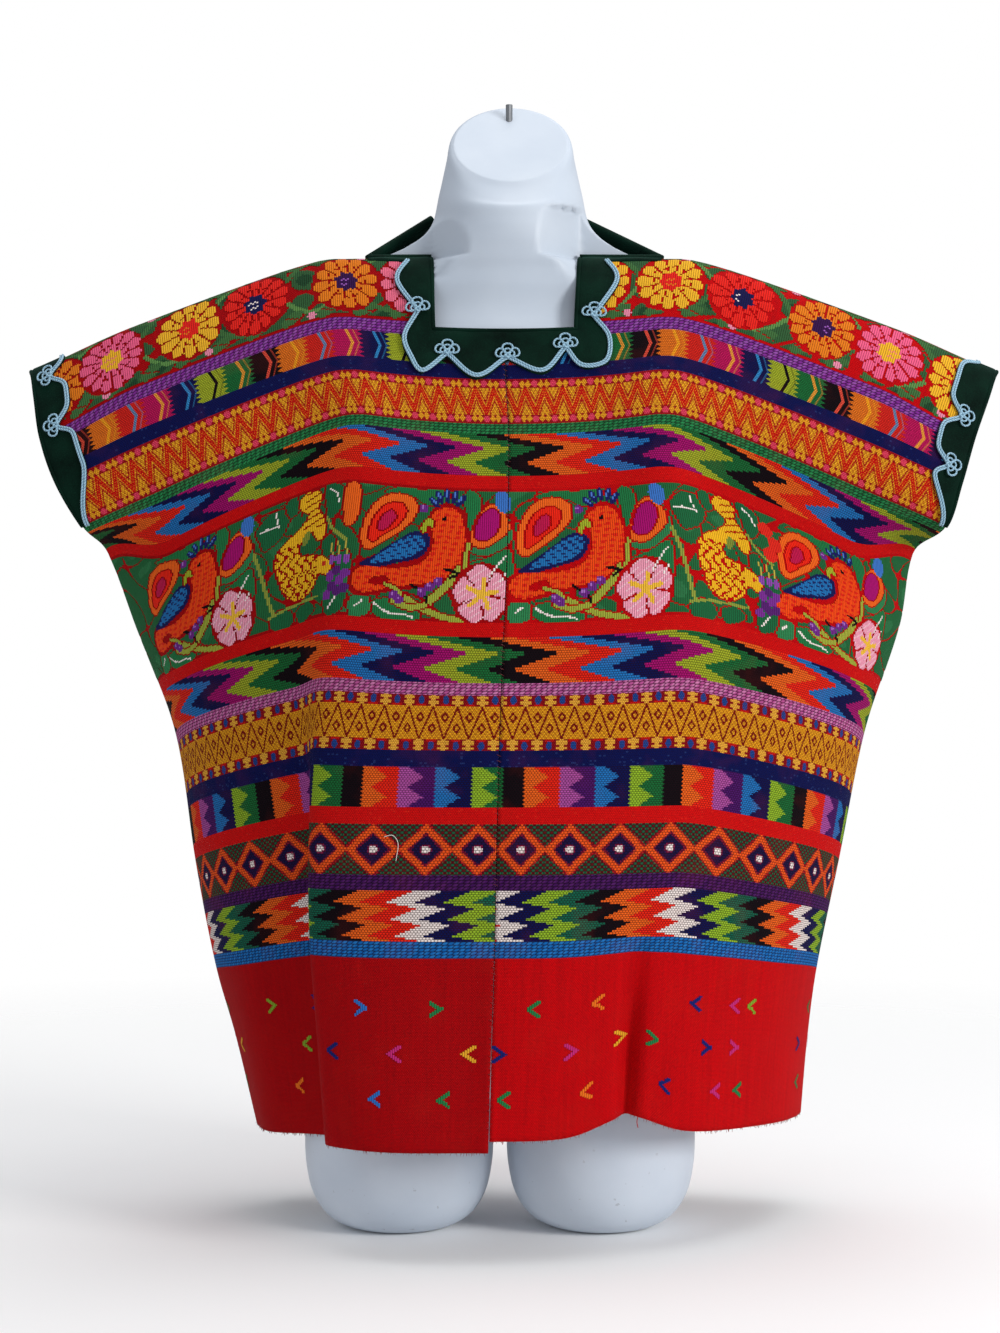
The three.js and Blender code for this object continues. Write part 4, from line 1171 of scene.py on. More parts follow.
# Colour and outline of each leaf and bud behind the parrot, back ones first
PARROT_BACK = (
    (LEAF, "20 6, 34 2, 50 3, 64 2, 72 6, 66 13, 54 14, 44 9, 30 9"),
    (LEAF, "86 2, 94 4, 97 14, 92 24, 88 36, 85 34, 86 20, 83 10"),
    (DARK_LEAF, "90 46, 100 38, 112 30, 120 26, 121 38, 112 46, 100 50"),
    (LEAF, "90 56, 104 51, 120 46, 121 70, 108 68, 98 62"),
    (LEAF, "18 86, 30 83, 44 87, 56 93, 50 97, 30 97, 20 94"),
    (DARK_LEAF, "1 84, 14 82, 16 94, 2 97"),
    (LEAF, "48 40, 56 33, 60 38, 52 44"),
    (ORANGE, "5 44, 6 30, 13 16, 25 8, 38 8, 46 14, 45 24, 36 34, 22 44, 11 50"),
    (SCARLET, "11 41, 13 28, 21 17, 32 14, 38 19, 34 29, 22 38, 14 44"),
    (srgb("C0164A"), "17 35, 20 25, 27 20, 30 26, 23 34"),
)
PARROT_BODY = ("56 27, 61 19, 70 15, 79 18, 84 28, 86 42, 83 56, 74 65, 60 70, 44 73, 28 76, 12 80, 2 77, "
               "1 68, 10 62, 28 62, 44 60, 56 54, 61 44, 60 34")
PARROT_RIM = ("54 27, 60 16, 71 12, 82 16, 87 28, 89 43, 85 58, 75 68, 60 73, 44 76, 28 79, 10 83, -1 79, "
              "-1 66, 10 59, 40 56")
PARROT_WING = "6 61, 16 54, 30 44, 42 36, 52 34, 58 38, 57 47, 49 54, 34 58, 18 62"
PARROT_FEATHERS = "14 59, 24 50, 40 39, 51 37, 55 41, 53 47, 44 53, 28 57"
PARROT_BEAK = "58 24, 53 27, 51 33, 54 35, 56 30, 61 31"
# Across, drop and turn of each crest feather
CREST = ((60, 12, -50), (64, 8, -28), (70, 6.5, -8), (76, 7, 14), (81, 10, 38))
# Width and line of each twig
TWIGS = ((5.5, "82 60, 75 70, 66 79, 58 86"), (4.2, "40 80, 52 86, 66 92, 86 96"), (3.2, "92 34, 88 44, 86 60"),
         (2.4, "26 73, 36 76, 40 80"), (4.0, "58 86, 46 88, 34 84"))
CLAWS = ("71 60, 80 62, 85 66", "47 72, 57 78, 60 84", "76 66, 84 63, 88 66")
PARROT_BERRIES = "52 17, 61 73, 67 69, 55 77, 38 83, 34 80"
TIPPED_BUD = ((ORANGE, "90 40, 93 26, 100 15, 108 12, 116 20, 119 30, 112 38, 100 44"),
              (MAGENTA, "93 36, 95 25, 101 17, 108 16, 112 24, 109 33, 101 39"))
PARROT_VEINS = ("20 87, 27 91, 34 93, 42 93, 50 95", "106 64, 111 57, 117 50", "114 68, 118 62", "5 90, 10 86")


@dataclass(frozen=True)
class Parrot:
    """A parrot on a branch, with a tall bud behind it, a hibiscus and a two-coloured bud beside it."""

    x: float

    def lay(self, loom: Loom) -> None:
        """Lays the whole figure, its back parts first."""
        for colour, outline in PARROT_BACK:
            loom.outlined(loom.inside(spots(outline, self.x)), colour)
        self.bird(loom)
        self.branch(loom)
        for colour, outline in TIPPED_BUD:
            loom.outlined(loom.inside(spots(outline, self.x)), colour)
        loom.lay(loom.oval(self.x + 114, 10, 6.0, 8.5, -18), srgb("3B74C4"))
        self.hibiscus(loom, self.x + 100, 77)
        for line in PARROT_VEINS:
            loom.lay(loom.stroke(spots(line, self.x), 1.3), WHITE)

    def bird(self, loom: Loom) -> None:
        """Lays the body with its wavy stripes, the wing, the crest, the beak and the eye."""
        x = self.x
        loom.skip(loom.inside(spots(PARROT_RIM, x)))
        body = loom.inside(spots(PARROT_BODY, x))
        loom.outlined(body, srgb("F0480F"))
        stripe = np.sin(loom.v * 1.55 + 0.9 * np.sin(loom.u * 0.35)) + 0.8 * np.sin(loom.u * 0.9 + loom.v * 0.3)
        loom.lay(body & (stripe > 0.55), srgb("DE220F"))
        loom.skip(loom.oval(x + 22, 71, 8, 3.2, -10))
        loom.lay(loom.inside(spots(PARROT_WING, x)), srgb("0E1650"))
        blue = loom.inside(spots(PARROT_FEATHERS, x))
        loom.lay(blue, srgb("1D6FB0"))
        loom.lay(blue & (np.sin(loom.u * 0.75 + loom.v * 0.5) * np.sin(loom.v * 1.5) > 0.35), srgb("12235E"))
        for across, drop, turn in CREST:
            loom.lay(loom.oval(x + across, drop, 2.4, 5.4, turn), srgb("141C5C"))
            loom.lay(loom.oval(x + across - 0.5, drop - 1.2, 0.9, 2.8, turn), srgb("4A78C8"))
        loom.outlined(loom.inside(spots(PARROT_BEAK, x)), OLIVE)
        loom.lay(loom.oval(x + 69, 24, 1.8, 1.6), BLACK)

    def branch(self, loom: Loom) -> None:
        """Lays the branch, the claws on it and the berries."""
        for wide, line in TWIGS:
            loom.outlined(loom.stroke(spots(line, self.x), wide), srgb("9FA83A"))
        for line in CLAWS:
            loom.lay(loom.stroke(spots(line, self.x), 2.0), BLACK)
        for across, drop in spots(PARROT_BERRIES, self.x):
            loom.lay(loom.oval(across, drop, 3.6, 3.3), srgb("6E2A86"))
            loom.lay(loom.oval(across - 1, drop - 1, 1.3, 1.2), srgb("A66CC0"))

    @staticmethod
    def hibiscus(loom: Loom, x: float, y: float) -> None:
        """Lays five petals r < 20.5 (0.8 + 0.2 |cos(2.5 a)|^0.5) and five yellow rays."""
        dx, dy = loom.u - x, loom.v - y
        r, a = np.hypot(dx, dy), np.arctan2(dy, dx) + 0.45
        lobe = np.abs(np.cos(2.5 * a))
        loom.skip(r < 22.5)
        petals = r < 20.5 * (0.8 + 0.2 * lobe**0.5) * (1 + 0.03 * np.sin(9 * a))
        loom.outlined(petals & ~((lobe * r < 2.2) & (r > 7)), srgb("F29DB4"))
        loom.lay(petals & (np.sin(loom.u * 0.8 + loom.v * 1.3) > 0.86), srgb("F7C2CE"))
        for angle in np.arange(5) * 1.2566 - 0.2:
            tip = (x + 11.5 * np.cos(angle), y + 10.5 * np.sin(angle))
            bend = ((x + tip[0]) / 2 + 0.6, (y + tip[1]) / 2)
            loom.lay(loom.stroke([(x, y), bend, tip], 3.4), srgb("F5BE3A"))


SCALED_LEAVES = (
    "3 18, 14 8, 28 9, 33 16, 26 30, 12 36, 7 28", "28 6, 36 2, 40 14, 33 17",
    "62 2, 74 3, 80 10, 76 22, 68 28, 64 16", "64 44, 72 40, 76 50, 68 56",
    "14 90, 22 84, 34 87, 34 96, 18 97", "40 88, 52 84, 60 90, 50 96, 42 96",
    "70 84, 80 76, 88 82, 84 94, 72 96", "76 58, 86 52, 90 64, 82 70",
)
STEMS = ((3.2, "2 36, 8 52, 13 70, 18 86"), (2.0, "14 87, 30 84, 48 83, 62 82"), (2.4, "66 26, 72 36, 84 44"))
YELLOW_BODY = ("22 56, 22 44, 30 36, 38 32, 46 26, 50 20, 44 16, 40 9, 45 3, 54 3, 59 9, 57 17, 62 24, 66 34, "
               "63 42, 58 40, 54 34, 47 38, 42 44, 46 50, 56 52, 68 56, 74 62, 70 68, 62 66, 58 74, 48 80, "
               "36 80, 28 72")
GRAPES = "74 70, 79 66, 82 73, 76 77, 86 68, 80 80, 72 83, 86 78"
RED_BERRIES = "84 16, 90 26, 84 36"
YELLOW_BUD = "80 4, 88 2, 92 12, 90 30, 82 34, 79 18"
LEAF_VEINS = ("6 20, 16 20, 24 21", "20 10, 22 18", "66 5, 72 9, 75 16", "74 92, 80 84")


@dataclass(frozen=True)
class YellowBird:
    """A scaled yellow bird bending over a bunch of grapes, with veined leaves round it."""

    x: float
    berries: bool

    def lay(self, loom: Loom) -> None:
        """Lays the figure, its back parts first."""
        x = self.x
        for outline in SCALED_LEAVES:
            loom.outlined(loom.inside(spots(outline, x)), SCALE_GREEN)
        for wide, line in STEMS:
            loom.lay(loom.stroke(spots(line, x), wide), srgb("8E9A3C"))
        bird = loom.inside(spots(YELLOW_BODY, x))
        loom.outlined(bird, srgb("F0B41E"))
        scale = (np.abs(np.mod(loom.u - x + 3 * np.sin(loom.v * 0.5), 8.0) - 4.0) < 0.9) | (
            np.abs(np.mod(loom.v + 2 * np.sin(loom.u * 0.7), 7.4) - 3.7) < 0.62)
        loom.skip(bird & scale & (loom.v > 40) & (loom.u < x + 60))
        bars = np.abs(np.mod(loom.v + (loom.u - x) * 0.3, 5.2) - 2.6) < 0.6
        loom.skip(bird & bars & (loom.v < 32) & (loom.u > x + 46))
        loom.lay(loom.oval(x + 49, 38, 3.0, 5.5, 25), srgb("7D8A34"))
        loom.lay(loom.oval(x + 67, 60, 1.6, 1.5), srgb("C8321C"))
        for k, (across, drop) in enumerate(spots(GRAPES, x)):
            loom.lay(loom.oval(across, drop, 3.7, 3.5), srgb("55206E") if k % 2 else srgb("7A2F92"))
        for across in (x + 74, x + 80, x + 86):
            loom.lay(loom.oval(across, 58, 2.6, 3.6), srgb("8A48A8"))
            loom.lay(loom.stroke([(across, 54), (across - 2, 46)], 1.6), srgb("B9A845"))
        if self.berries:
            for across, drop in spots(RED_BERRIES, x):
                loom.lay(loom.oval(across, drop, 6.2, 5.8), srgb("E0281A"))
        else:
            loom.outlined(loom.inside(spots(YELLOW_BUD, x)), ORANGE)
        for line in LEAF_VEINS:
            loom.lay(loom.stroke(spots(line, x), 1.3), WHITE)


@dataclass(frozen=True)
class SmallVee:
    """A small bent stroke in the plain red, 8 mm wide and 10 mm high, open to one side."""

    x: float
    y: float
    colour: tuple
    points_right: bool

    def lay(self, loom: Loom) -> None:
        """Lays the stroke."""
        reach = 4.3 if self.points_right else -4.3
        for way in (-1, 1):
            points = [(self.x - reach, self.y + 5 * way), (self.x - reach * 0.1, self.y + 2.2 * way),
                      (self.x + reach * 0.8, self.y)]
            loom.lay(loom.stroke(points[::-way], 2.7), self.colour)


PINK, CORAL, AMBER, RUST = srgb("EE5E86"), srgb("F27C70"), srgb("EFB22A"), srgb("E57A1A")
ROSE_RED, PLUM, INK, LILAC = srgb("E6231A"), srgb("331048"), srgb("10164A"), srgb("9C5CB8")
# Across, petal, eye and speck of each flower at the front
FLOWERS = (
    (-354, RUST, ROSE_RED, AMBER), (-308, PINK, AMBER, CORAL), (-246, AMBER, ROSE_RED, RUST),
    (-194, ROSE_RED, INK, WHITE), (-123, RUST, PLUM, LILAC), (-72, srgb("F0708C"), AMBER, ROSE_RED),
    (70, AMBER, RUST, ROSE_RED), (126, AMBER, ROSE_RED, RUST), (180, ROSE_RED, INK, WHITE),
    (242, RUST, PLUM, LILAC), (293, PINK, AMBER, CORAL), (349, AMBER, ROSE_RED, RUST),
)
VEE_TINTS = {
    "lime": srgb("7FA02C"), "navy": srgb("10206A"), "blue": srgb("2B6FC0"), "green": srgb("1F7A44"),
    "pink": srgb("C22A74"), "gold": srgb("E0A028"), "orange": srgb("E8701C"),
}
# Depth in the plain red, then across, colour and whether it points right
VEE_ROWS = (
    (18, ((-238, "lime", True), (-190, "navy", True), (-92, "blue", True), (-38, "green", True),
          (29, "green", False), (77, "orange", False), (157, "navy", False), (195, "pink", False),
          (214, "lime", False))),
    (50, ((-205, "lime", False), (-118, "navy", False), (-69, "pink", False), (-16, "gold", False),
          (6, "navy", True), (59, "pink", True), (97, "gold", True), (123, "green", True),
          (170, "navy", True), (198, "pink", True))),
    (82, ((-218, "orange", False), (-84, "blue", False), (-33, "green", False), (9, "green", False),
          (70, "orange", False), (133, "navy", False), (180, "pink", False), (203, "green", False))),
)


def figures(side: Side, layer: Layer) -> list[Patch]:
    """Lays every figure of one half of a panel.

    Args:
        side: the panel. layer: its front or back.

    Returns:
        A patch for each of the three fields: flowers, birds and the small strokes of the plain red.
    """
    garden = Loom(side, layer, 0, 62)
    garden.foliage(0.52, srgb("2F5A34"), srgb("1B4428"))
    Vine(0.4 if layer is Layer.FRONT else 1.6).lay(garden)
    if layer is Layer.FRONT:
        rows = FLOWERS
    else:
        kinds = ((PINK, AMBER, CORAL), (RUST, PLUM, PINK), (AMBER, ROSE_RED, RUST), (ROSE_RED, INK, WHITE))
        rows = tuple((-343 + 58.5 * k, *kinds[k % 4]) for k in range(13))
    for x, petal, eye, speck in rows:
        Flower(x, 31.5, petal, eye, speck, radius=25.0, petals=12 + int(abs(x)) % 3).lay(garden)
    aviary = Loom(side, layer, 190, 97)
    aviary.foliage(0.86, srgb("1E6438"), srgb("2A7244"))
    shift = 0.0 if layer is Layer.FRONT else 40.0
    for x in (-540, -329, -118, 2, 208, 418):
        Parrot(x + shift).lay(aviary)
    YellowBird(-209 + shift, False).lay(aviary)
    YellowBird(122 + shift, True).lay(aviary)
    if side is Side.LEFT:
        aviary.skip(aviary.across < 0.6)
    plain = Loom(side, layer, 545, 100)
    for y, row in VEE_ROWS:
        for x, tint, right in row:
            for turn in (0.0, 290.0 if x > 0 else -290.0):
                SmallVee(x + turn, y, VEE_TINTS[tint], right).lay(plain)
    return [garden.patch(), aviary.patch(), plain.patch()]


# The tunic

@dataclass
class WovenPanel:
    """One half of a panel, front or back: a thin closed sheet with a material slot for each band."""

    side: Side
    layer: Layer
    column: float = 3.1
    row: float = 4.2

    @property
    def name(self) -> str:
        """The piece's name."""
        return f"panel_{self.side.name.lower()}_{self.layer.name.lower()}"

    def stations(self) -> tuple[Array, Array, list[Band]]:
        """Grid places: columns across, rows of drops on the band edges, and the band of each row of cells."""
        across = np.concatenate([
            np.linspace(0, NECK_HALF, 19)[:-1],
            np.linspace(NECK_HALF, PANEL_WIDTH, int((PANEL_WIDTH - NECK_HALF) / self.column) + 1),
        ])
        drops: list[Array] = []
        bands: list[Band] = []
        for band in BANDS:
            end = min(band.top + band.deep, self.side.hem)
            edges = [band.top, end]
            for cut in (NECK_DROP, ARMHOLE_DEPTH):
                if band.top < cut < end:
                    edges.insert(1, cut)
            for start, stop in zip(edges, edges[1:]):
                count = max(1, int(round((stop - start) / self.row)))
                drops.append(np.linspace(start, stop, count + 1)[:-1])
                bands += [band] * count
        rows = np.concatenate([*drops, [self.side.hem]])
        return across, rows, bands

    def build(self, dyer: ClothDyer) -> bpy.types.Object:
        """Builds the sheet.

        Args:
            dyer: where the bands' materials come from.

        Returns:
            The piece.
        """
        across, rows, bands = self.stations()
        a, d = np.meshgrid(across, rows)
        gap = SLIT_GAP * np.clip((self.side.slit - a) / 6, 0, 1)
        d = np.where(d < SLIT_GAP, np.maximum(d, gap), d)
        n = DRAPE.normals(self.side, self.layer, a, d)
        middle = DRAPE.points(self.side, self.layer, a, d)
        names = list(dict.fromkeys(band.name for band in bands))
        by_name = {band.name: band for band in bands}
        slots = np.array([names.index(band.name) for band in bands])
        keep = ~((rows[:-1, None] < NECK_DROP - 0.1) & (across[None, :-1] < NECK_HALF - 0.1))
        uv = np.stack([a * self.side.value + (-5.0 if self.side is Side.LEFT else 0.0), d], -1)
        sheet = shell(middle + n * CLOTH_HALF, middle - n * CLOTH_HALF, keep, uv, slots)
        piece = sheet.make(self.name, [dyer.of(by_name[name]) for name in names])
        return piece

    @property
    def area(self) -> float:
        """The cut's flat area in square metres, without the square neck."""
        return (PANEL_WIDTH * self.side.hem - NECK_HALF * NECK_DROP) * MM * MM


SCALLOPS = np.array([
    [-76, 13, 0], [-85, 32, 0], [-69, 56, 1], [-81, 76, 0], [-77, 92, 0], [-68, 103, 0], [-47, 88, 1],
    [-24, 105, 0], [2, 90, 1], [30, 101, 0], [49, 83, 1], [62, 98, 0], [82, 96, 0], [84, 77, 0], [71, 60, 1],
    [87, 32, 0], [78, 13, 0],
], dtype=float)
LOW_LEFT, LOW_RIGHT = 5, 12


def scallops(first: int, last: int) -> Array:
    """The scalloped outline from one row to another: a smooth curve between knots, a corner at each knot."""
    rows = SCALLOPS[first : last + 1]
    cuts = [0, *[k for k in range(1, len(rows) - 1) if rows[k, 2]], len(rows) - 1]
    runs = [rows[a : b + 1, :2] for a, b in zip(cuts, cuts[1:])]
    runs = [curve_through(run, 10) if len(run) > 2 else run for run in runs]
    return np.concatenate([runs[0], *[run[1:] for run in runs[1:]]])


@dataclass
class NeckTrim:
    """The velvet round the neck of one layer, its bound edge, its cords and knots."""

    layer: Layer
    lift: float = 0.95
    thick: float = 1.5

    def edge(self) -> list[tuple[Array, Array, int]]:
        """The five stretches: cut edge, outline and number of steps."""
        top = SLIT_GAP + 0.3
        left, right = -105.0, 117.0
        corners = np.array([[left, top], [-NECK_HALF, top], [-NECK_HALF, NECK_DROP], [NECK_HALF, NECK_DROP],
                            [NECK_HALF, top], [right, top]])
        end = len(SCALLOPS) - 1
        outlines = [
            np.array([[left, BINDING], SCALLOPS[0, :2]]), scallops(0, LOW_LEFT), scallops(LOW_LEFT, LOW_RIGHT),
            scallops(LOW_RIGHT, end), np.array([SCALLOPS[end, :2], [right, BINDING]]),
        ]
        return [(corners[k : k + 2], outlines[k], steps) for k, steps in enumerate((12, 44, 96, 44, 12))]

    def build(self, velvet: bpy.types.Material) -> bpy.types.Object:
        """Builds the velvet as a thin closed sheet with turned-under edges, and its bound edge."""
        grids = []
        for edge, outline, steps in self.edge():
            share = np.linspace(0, 1, steps + 1)
            near, far = along(edge, share), along(outline, share)
            t = np.linspace(0, 1, 13)[None, :, None]
            grids.append(near[:, None] * (1 - t) + far[:, None] * t)
        grid = np.concatenate([grids[0], *[g[1:] for g in grids[1:]]])
        reach = np.linalg.norm(grid[:, -1] - grid[:, 0], axis=1)[:, None] * np.linspace(0, 1, 13)
        inset = np.minimum(reach, reach[:, -1:] - reach)
        puff = self.thick * (1 - 0.75 * np.exp(-((inset / 1.3) ** 2)))
        puff = puff + 0.25 * np.sin(grid[..., 0] / 5.0 + grid[..., 1] / 7.0) * smooth(inset / 4)
        across, drop = grid[..., 0], grid[..., 1]
        outer = DRAPE.lifted_signed(self.layer, across, drop, self.lift + puff)
        inner = DRAPE.lifted_signed(self.layer, across, drop, np.full_like(across, self.lift - 0.1))
        face = shell(outer, inner, np.ones((len(grid) - 1, 12), dtype=bool), grid)
        line = np.concatenate([along(edge, np.linspace(0, 1, steps)) for edge, _, steps in self.edge()])
        line = line[np.concatenate([[True], np.linalg.norm(np.diff(line, axis=0), axis=1) > 0.2])]
        rest, out = DRAPE.route(self.layer, line, 0.0)
        parts = [face, tube(rest + out * 0.65, out, 1.9, 8)]
        for k in (0, 4):
            run = along(self.edge()[k][0], np.linspace(0.0, 1.0, 16))
            parts.append(tube(*DRAPE.route(self.layer, run, 1.2), 3.1, 10))
        piece = Patch.joined(parts).make(f"neck_velvet_{self.layer.name.lower()}", [velvet])
        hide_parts(f"neck_trim_{self.layer.name.lower()}")
        return piece

    def cords(self, cord: bpy.types.Material) -> bpy.types.Object:
        """The double cord along the scallops with a three-loop knot at each corner."""
        line = scallops(0, len(SCALLOPS) - 1)
        line = along(line, np.linspace(0, 1, 420)) * 0.975
        parts = side_by_side(*DRAPE.route(self.layer, line, self.lift + self.thick + 0.75))
        knots = SCALLOPS[(SCALLOPS[:, 2] > 0) & ((self.layer is Layer.FRONT) | (SCALLOPS[:, 1] > NECK_DROP))]
        for x, y, _ in knots:
            turn = 8 * np.sign(x) if y < 75 else 0
            parts += clover(self.layer, x * 0.975, y * 0.97, self.lift + self.thick + 1.5, turn)
        piece = Patch.joined(parts).make(f"neck_cords_{self.layer.name.lower()}", [cord])
        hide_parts(f"neck_cord_{self.layer.name.lower()}")
        return piece


def side_by_side(path: Array, up: Array) -> list[Patch]:
    """Two tubes of 0.85 mm radius, 0.9 mm to each side of a path."""
    ahead = np.gradient(path, axis=0)
    aside = np.cross(ahead, up)
    aside /= np.linalg.norm(aside, axis=1, keepdims=True)
    return [tube(path + aside * k, up, 0.85, 7) for k in (-0.9, 0.9)]


def clover(layer: Layer, across: float, drop: float, lift: float, turn: float) -> list[Patch]:
    """A knot of three doubled loops: along = r (1 - cos t) / 2, aside = 0.34 r sin t (1 - cos t) ^ 0.6.

    Args:
        layer: the cloth's layer. across, drop: its middle. lift: off the cloth's middle.
        turn: the way its middle loop points, in degrees from straight up.

    Returns:
        The loops' tubes and the wrapped middle.
    """
    drop = max(drop, 4.0)
    place = np.array([[across, drop], [across + 1, drop], [across, drop - 1]])
    p = DRAPE.lifted_signed(layer, place[:, 0], place[:, 1], np.full(3, lift))
    out = DRAPE.lifted_signed(layer, place[:1, 0], place[:1, 1], np.array([lift + 1.0]))[0] - p[0]
    e1 = (p[1] - p[0]) / np.linalg.norm(p[1] - p[0])
    e2 = (p[2] - p[0]) - e1 * ((p[2] - p[0]) @ e1)
    e2 /= np.linalg.norm(e2)
    t = np.linspace(0, 2 * np.pi, 28, endpoint=False)[:, None]
    parts = []
    for k, (angle, reach) in enumerate(((-66, 9.0), (0, 9.8), (66, 9.0))):
        way = np.radians(turn + angle)
        ahead, aside = e1 * np.sin(way) + e2 * np.cos(way), e1 * np.cos(way) - e2 * np.sin(way)
        for share, radius in ((1.0, 0.75), (0.58, 0.7)):
            along_it = share * reach * (1 - np.cos(t)) / 2
            beside = share * reach * 0.34 * np.sin(t) * (1 - np.cos(t)) ** 0.6
            path = p[0] + ahead * along_it + aside * beside + out * (0.5 * k * (1 - np.cos(t)) * 0.4)
            parts.append(tube(path, np.broadcast_to(out, path.shape), radius, 6, closed=True))
    ring = p[0] + 1.5 * (e1 * np.cos(t) + e2 * np.sin(t)) + out * 0.5
    parts.append(tube(ring, np.broadcast_to(out, ring.shape), 1.0, 6, closed=True))
    return parts


@dataclass
class NeckFacing:
    """The velvet facing inside the two standing corners at the back of the neck."""

    def build(self, velvet: bpy.types.Material) -> bpy.types.Object:
        """Builds both facings as thin sheets on the cloth's inner side."""
        parts = []
        for side in Side:
            columns, rows = np.linspace(NECK_HALF + 0.5, side.slit - 2, 24), np.linspace(3.2, 58, 24)
            across, drop = np.meshgrid(columns, rows)
            past = across - NECK_HALF - 22
            drop = np.where(past > 0, np.minimum(drop, 58 - past), drop)
            outer = DRAPE.lifted(side, Layer.BACK, across, drop, np.full_like(across, -2.2))
            inner = DRAPE.lifted(side, Layer.BACK, across, drop, np.full_like(across, -0.8))
            uv = np.stack([across * side.value, drop], -1)
            parts.append(shell(outer, inner, np.ones((23, 23), dtype=bool), uv))
        piece = Patch.joined(parts).make("neck_facing_inner", [velvet])
        return piece


@dataclass
class ArmholeTrim:
    """The velvet round one armhole, over the shoulder fold, with its cords and knots."""

    side: Side
    notches: tuple[float, ...]
    lift: float = 0.95
    thick: float = 1.4

    def width(self, drop: Array) -> Array:
        """The velvet's width: a notch exp(-((drop - at) / 7)^2) between scallops, narrowing to its end."""
        notch = np.max([np.exp(-(((drop - at) / 7.0) ** 2)) for at in self.notches], axis=0)
        narrow = smooth((drop - 98) / (ARM_TRIM_END - 98))
        return (ARM_TRIM_WIDE - 11.0 * notch) * (1 - 0.75 * narrow)

    def run(self, inset: Callable[[Array], Array], lift: float) -> tuple[Array, Array]:
        """Places from the front end over the fold to the back end, at an inset from the edge.

        Args:
            inset: the inset as a function of the drop. lift: off the cloth's middle.

        Returns:
            Points, and the direction out of the cloth at each.
        """
        drop = np.linspace(0, ARM_TRIM_END, 96)
        across = PANEL_WIDTH - inset(drop)
        both = []
        for layer, order in ((Layer.FRONT, slice(None, None, -1)), (Layer.BACK, slice(1, None))):
            low = DRAPE.lifted(self.side, layer, across, drop, np.full_like(drop, lift))
            high = DRAPE.lifted(self.side, layer, across, drop, np.full_like(drop, lift + 1))
            both.append((low[order], (high - low)[order]))
        return np.concatenate([both[0][0], both[1][0]]), np.concatenate([both[0][1], both[1][1]])

    def build(self, velvet: bpy.types.Material) -> bpy.types.Object:
        """Builds the velvet and the roll that binds the armhole's edge."""
        share = np.linspace(0, 1, 11)
        drop = np.concatenate([np.linspace(ARM_TRIM_END, 0, 96), np.linspace(0, ARM_TRIM_END, 96)[1:]])
        width = self.width(drop)[:, None]
        reach = width * share
        inset = np.minimum(reach, width - reach)
        puff = self.thick * (1 - 0.75 * np.exp(-((inset / 1.2) ** 2)))
        columns = []
        for k, s in enumerate(share):
            base, up = self.run(lambda d, s=s: 0.4 + self.width(d) * s, self.lift)
            columns.append((base + up * puff[:, k : k + 1], base - up * 0.1))
        outer = np.stack([c[0] for c in columns], 1)
        inner = np.stack([c[1] for c in columns], 1)
        uv = np.stack(np.broadcast_arrays(reach, drop[:, None]), -1)
        face = shell(outer, inner, np.ones((len(drop) - 1, 10), dtype=bool), uv)
        base, up = self.run(lambda d: 0.2 + 0 * d, 0.7)
        roll = tube(base, up, 1.7, 8)
        piece = Patch.joined([face, roll]).make(f"armhole_velvet_{self.side.name.lower()}", [velvet])
        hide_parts(f"armhole_trim_{self.side.name.lower()}")
        return piece

    def cords(self, cord: bpy.types.Material) -> bpy.types.Object:
        """The double cord along the scallops with a knot at each notch."""
        path, up = self.run(lambda d: self.width(d) - 1.4, self.lift + self.thick + 0.75)
        parts = side_by_side(path, up)
        for layer in Layer:
            for at in self.notches:
                if at > 10:
                    across = self.side.value * (PANEL_WIDTH - 14.5)
                    parts += clover(layer, across, at, self.lift + self.thick + 1.5, 70.0 * self.side.value)
        piece = Patch.joined(parts).make(f"armhole_cords_{self.side.name.lower()}", [cord])
        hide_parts(f"armhole_cord_{self.side.name.lower()}")
        return piece


def strands(roots: Array, tips: Array, radius: float) -> Patch:
    """Short threads as slim three-sided prisms that bend halfway.

    Args:
        roots, tips: where each starts and ends. radius: half its thickness.

    Returns:
        All of them in one patch.
    """
    n = len(roots)
    mid = (roots + tips) / 2 + np.stack([np.zeros(n), 0.4 * np.sin(np.arange(n) * 2.1), np.zeros(n)], -1)
    line = np.stack([roots, mid, tips], 1)
    angle = np.arange(3) * 2 * np.pi / 3
    ring = np.stack([np.cos(angle), np.sin(angle), 0 * angle], -1) * radius
    points = (line[:, :, None] + ring[None, None] * np.array([1, 0.9, 0.5])[None, :, None, None]).reshape(-1, 3)
    base = (np.arange(n) * 9)[:, None, None]
    k = np.arange(3)
    after = (k + 1) % 3
    low = np.stack([k, k + 3, after + 3, after], -1)
    quads = np.concatenate([low, low + 3])
    faces = (base + quads[None]).reshape(-1, 4).tolist()
    caps = np.concatenate([base[:, 0] + np.array([0, 1, 2]), base[:, 0] + np.array([8, 7, 6])]).tolist()
    return Patch(points, faces + caps, np.zeros((len(points), 2)))


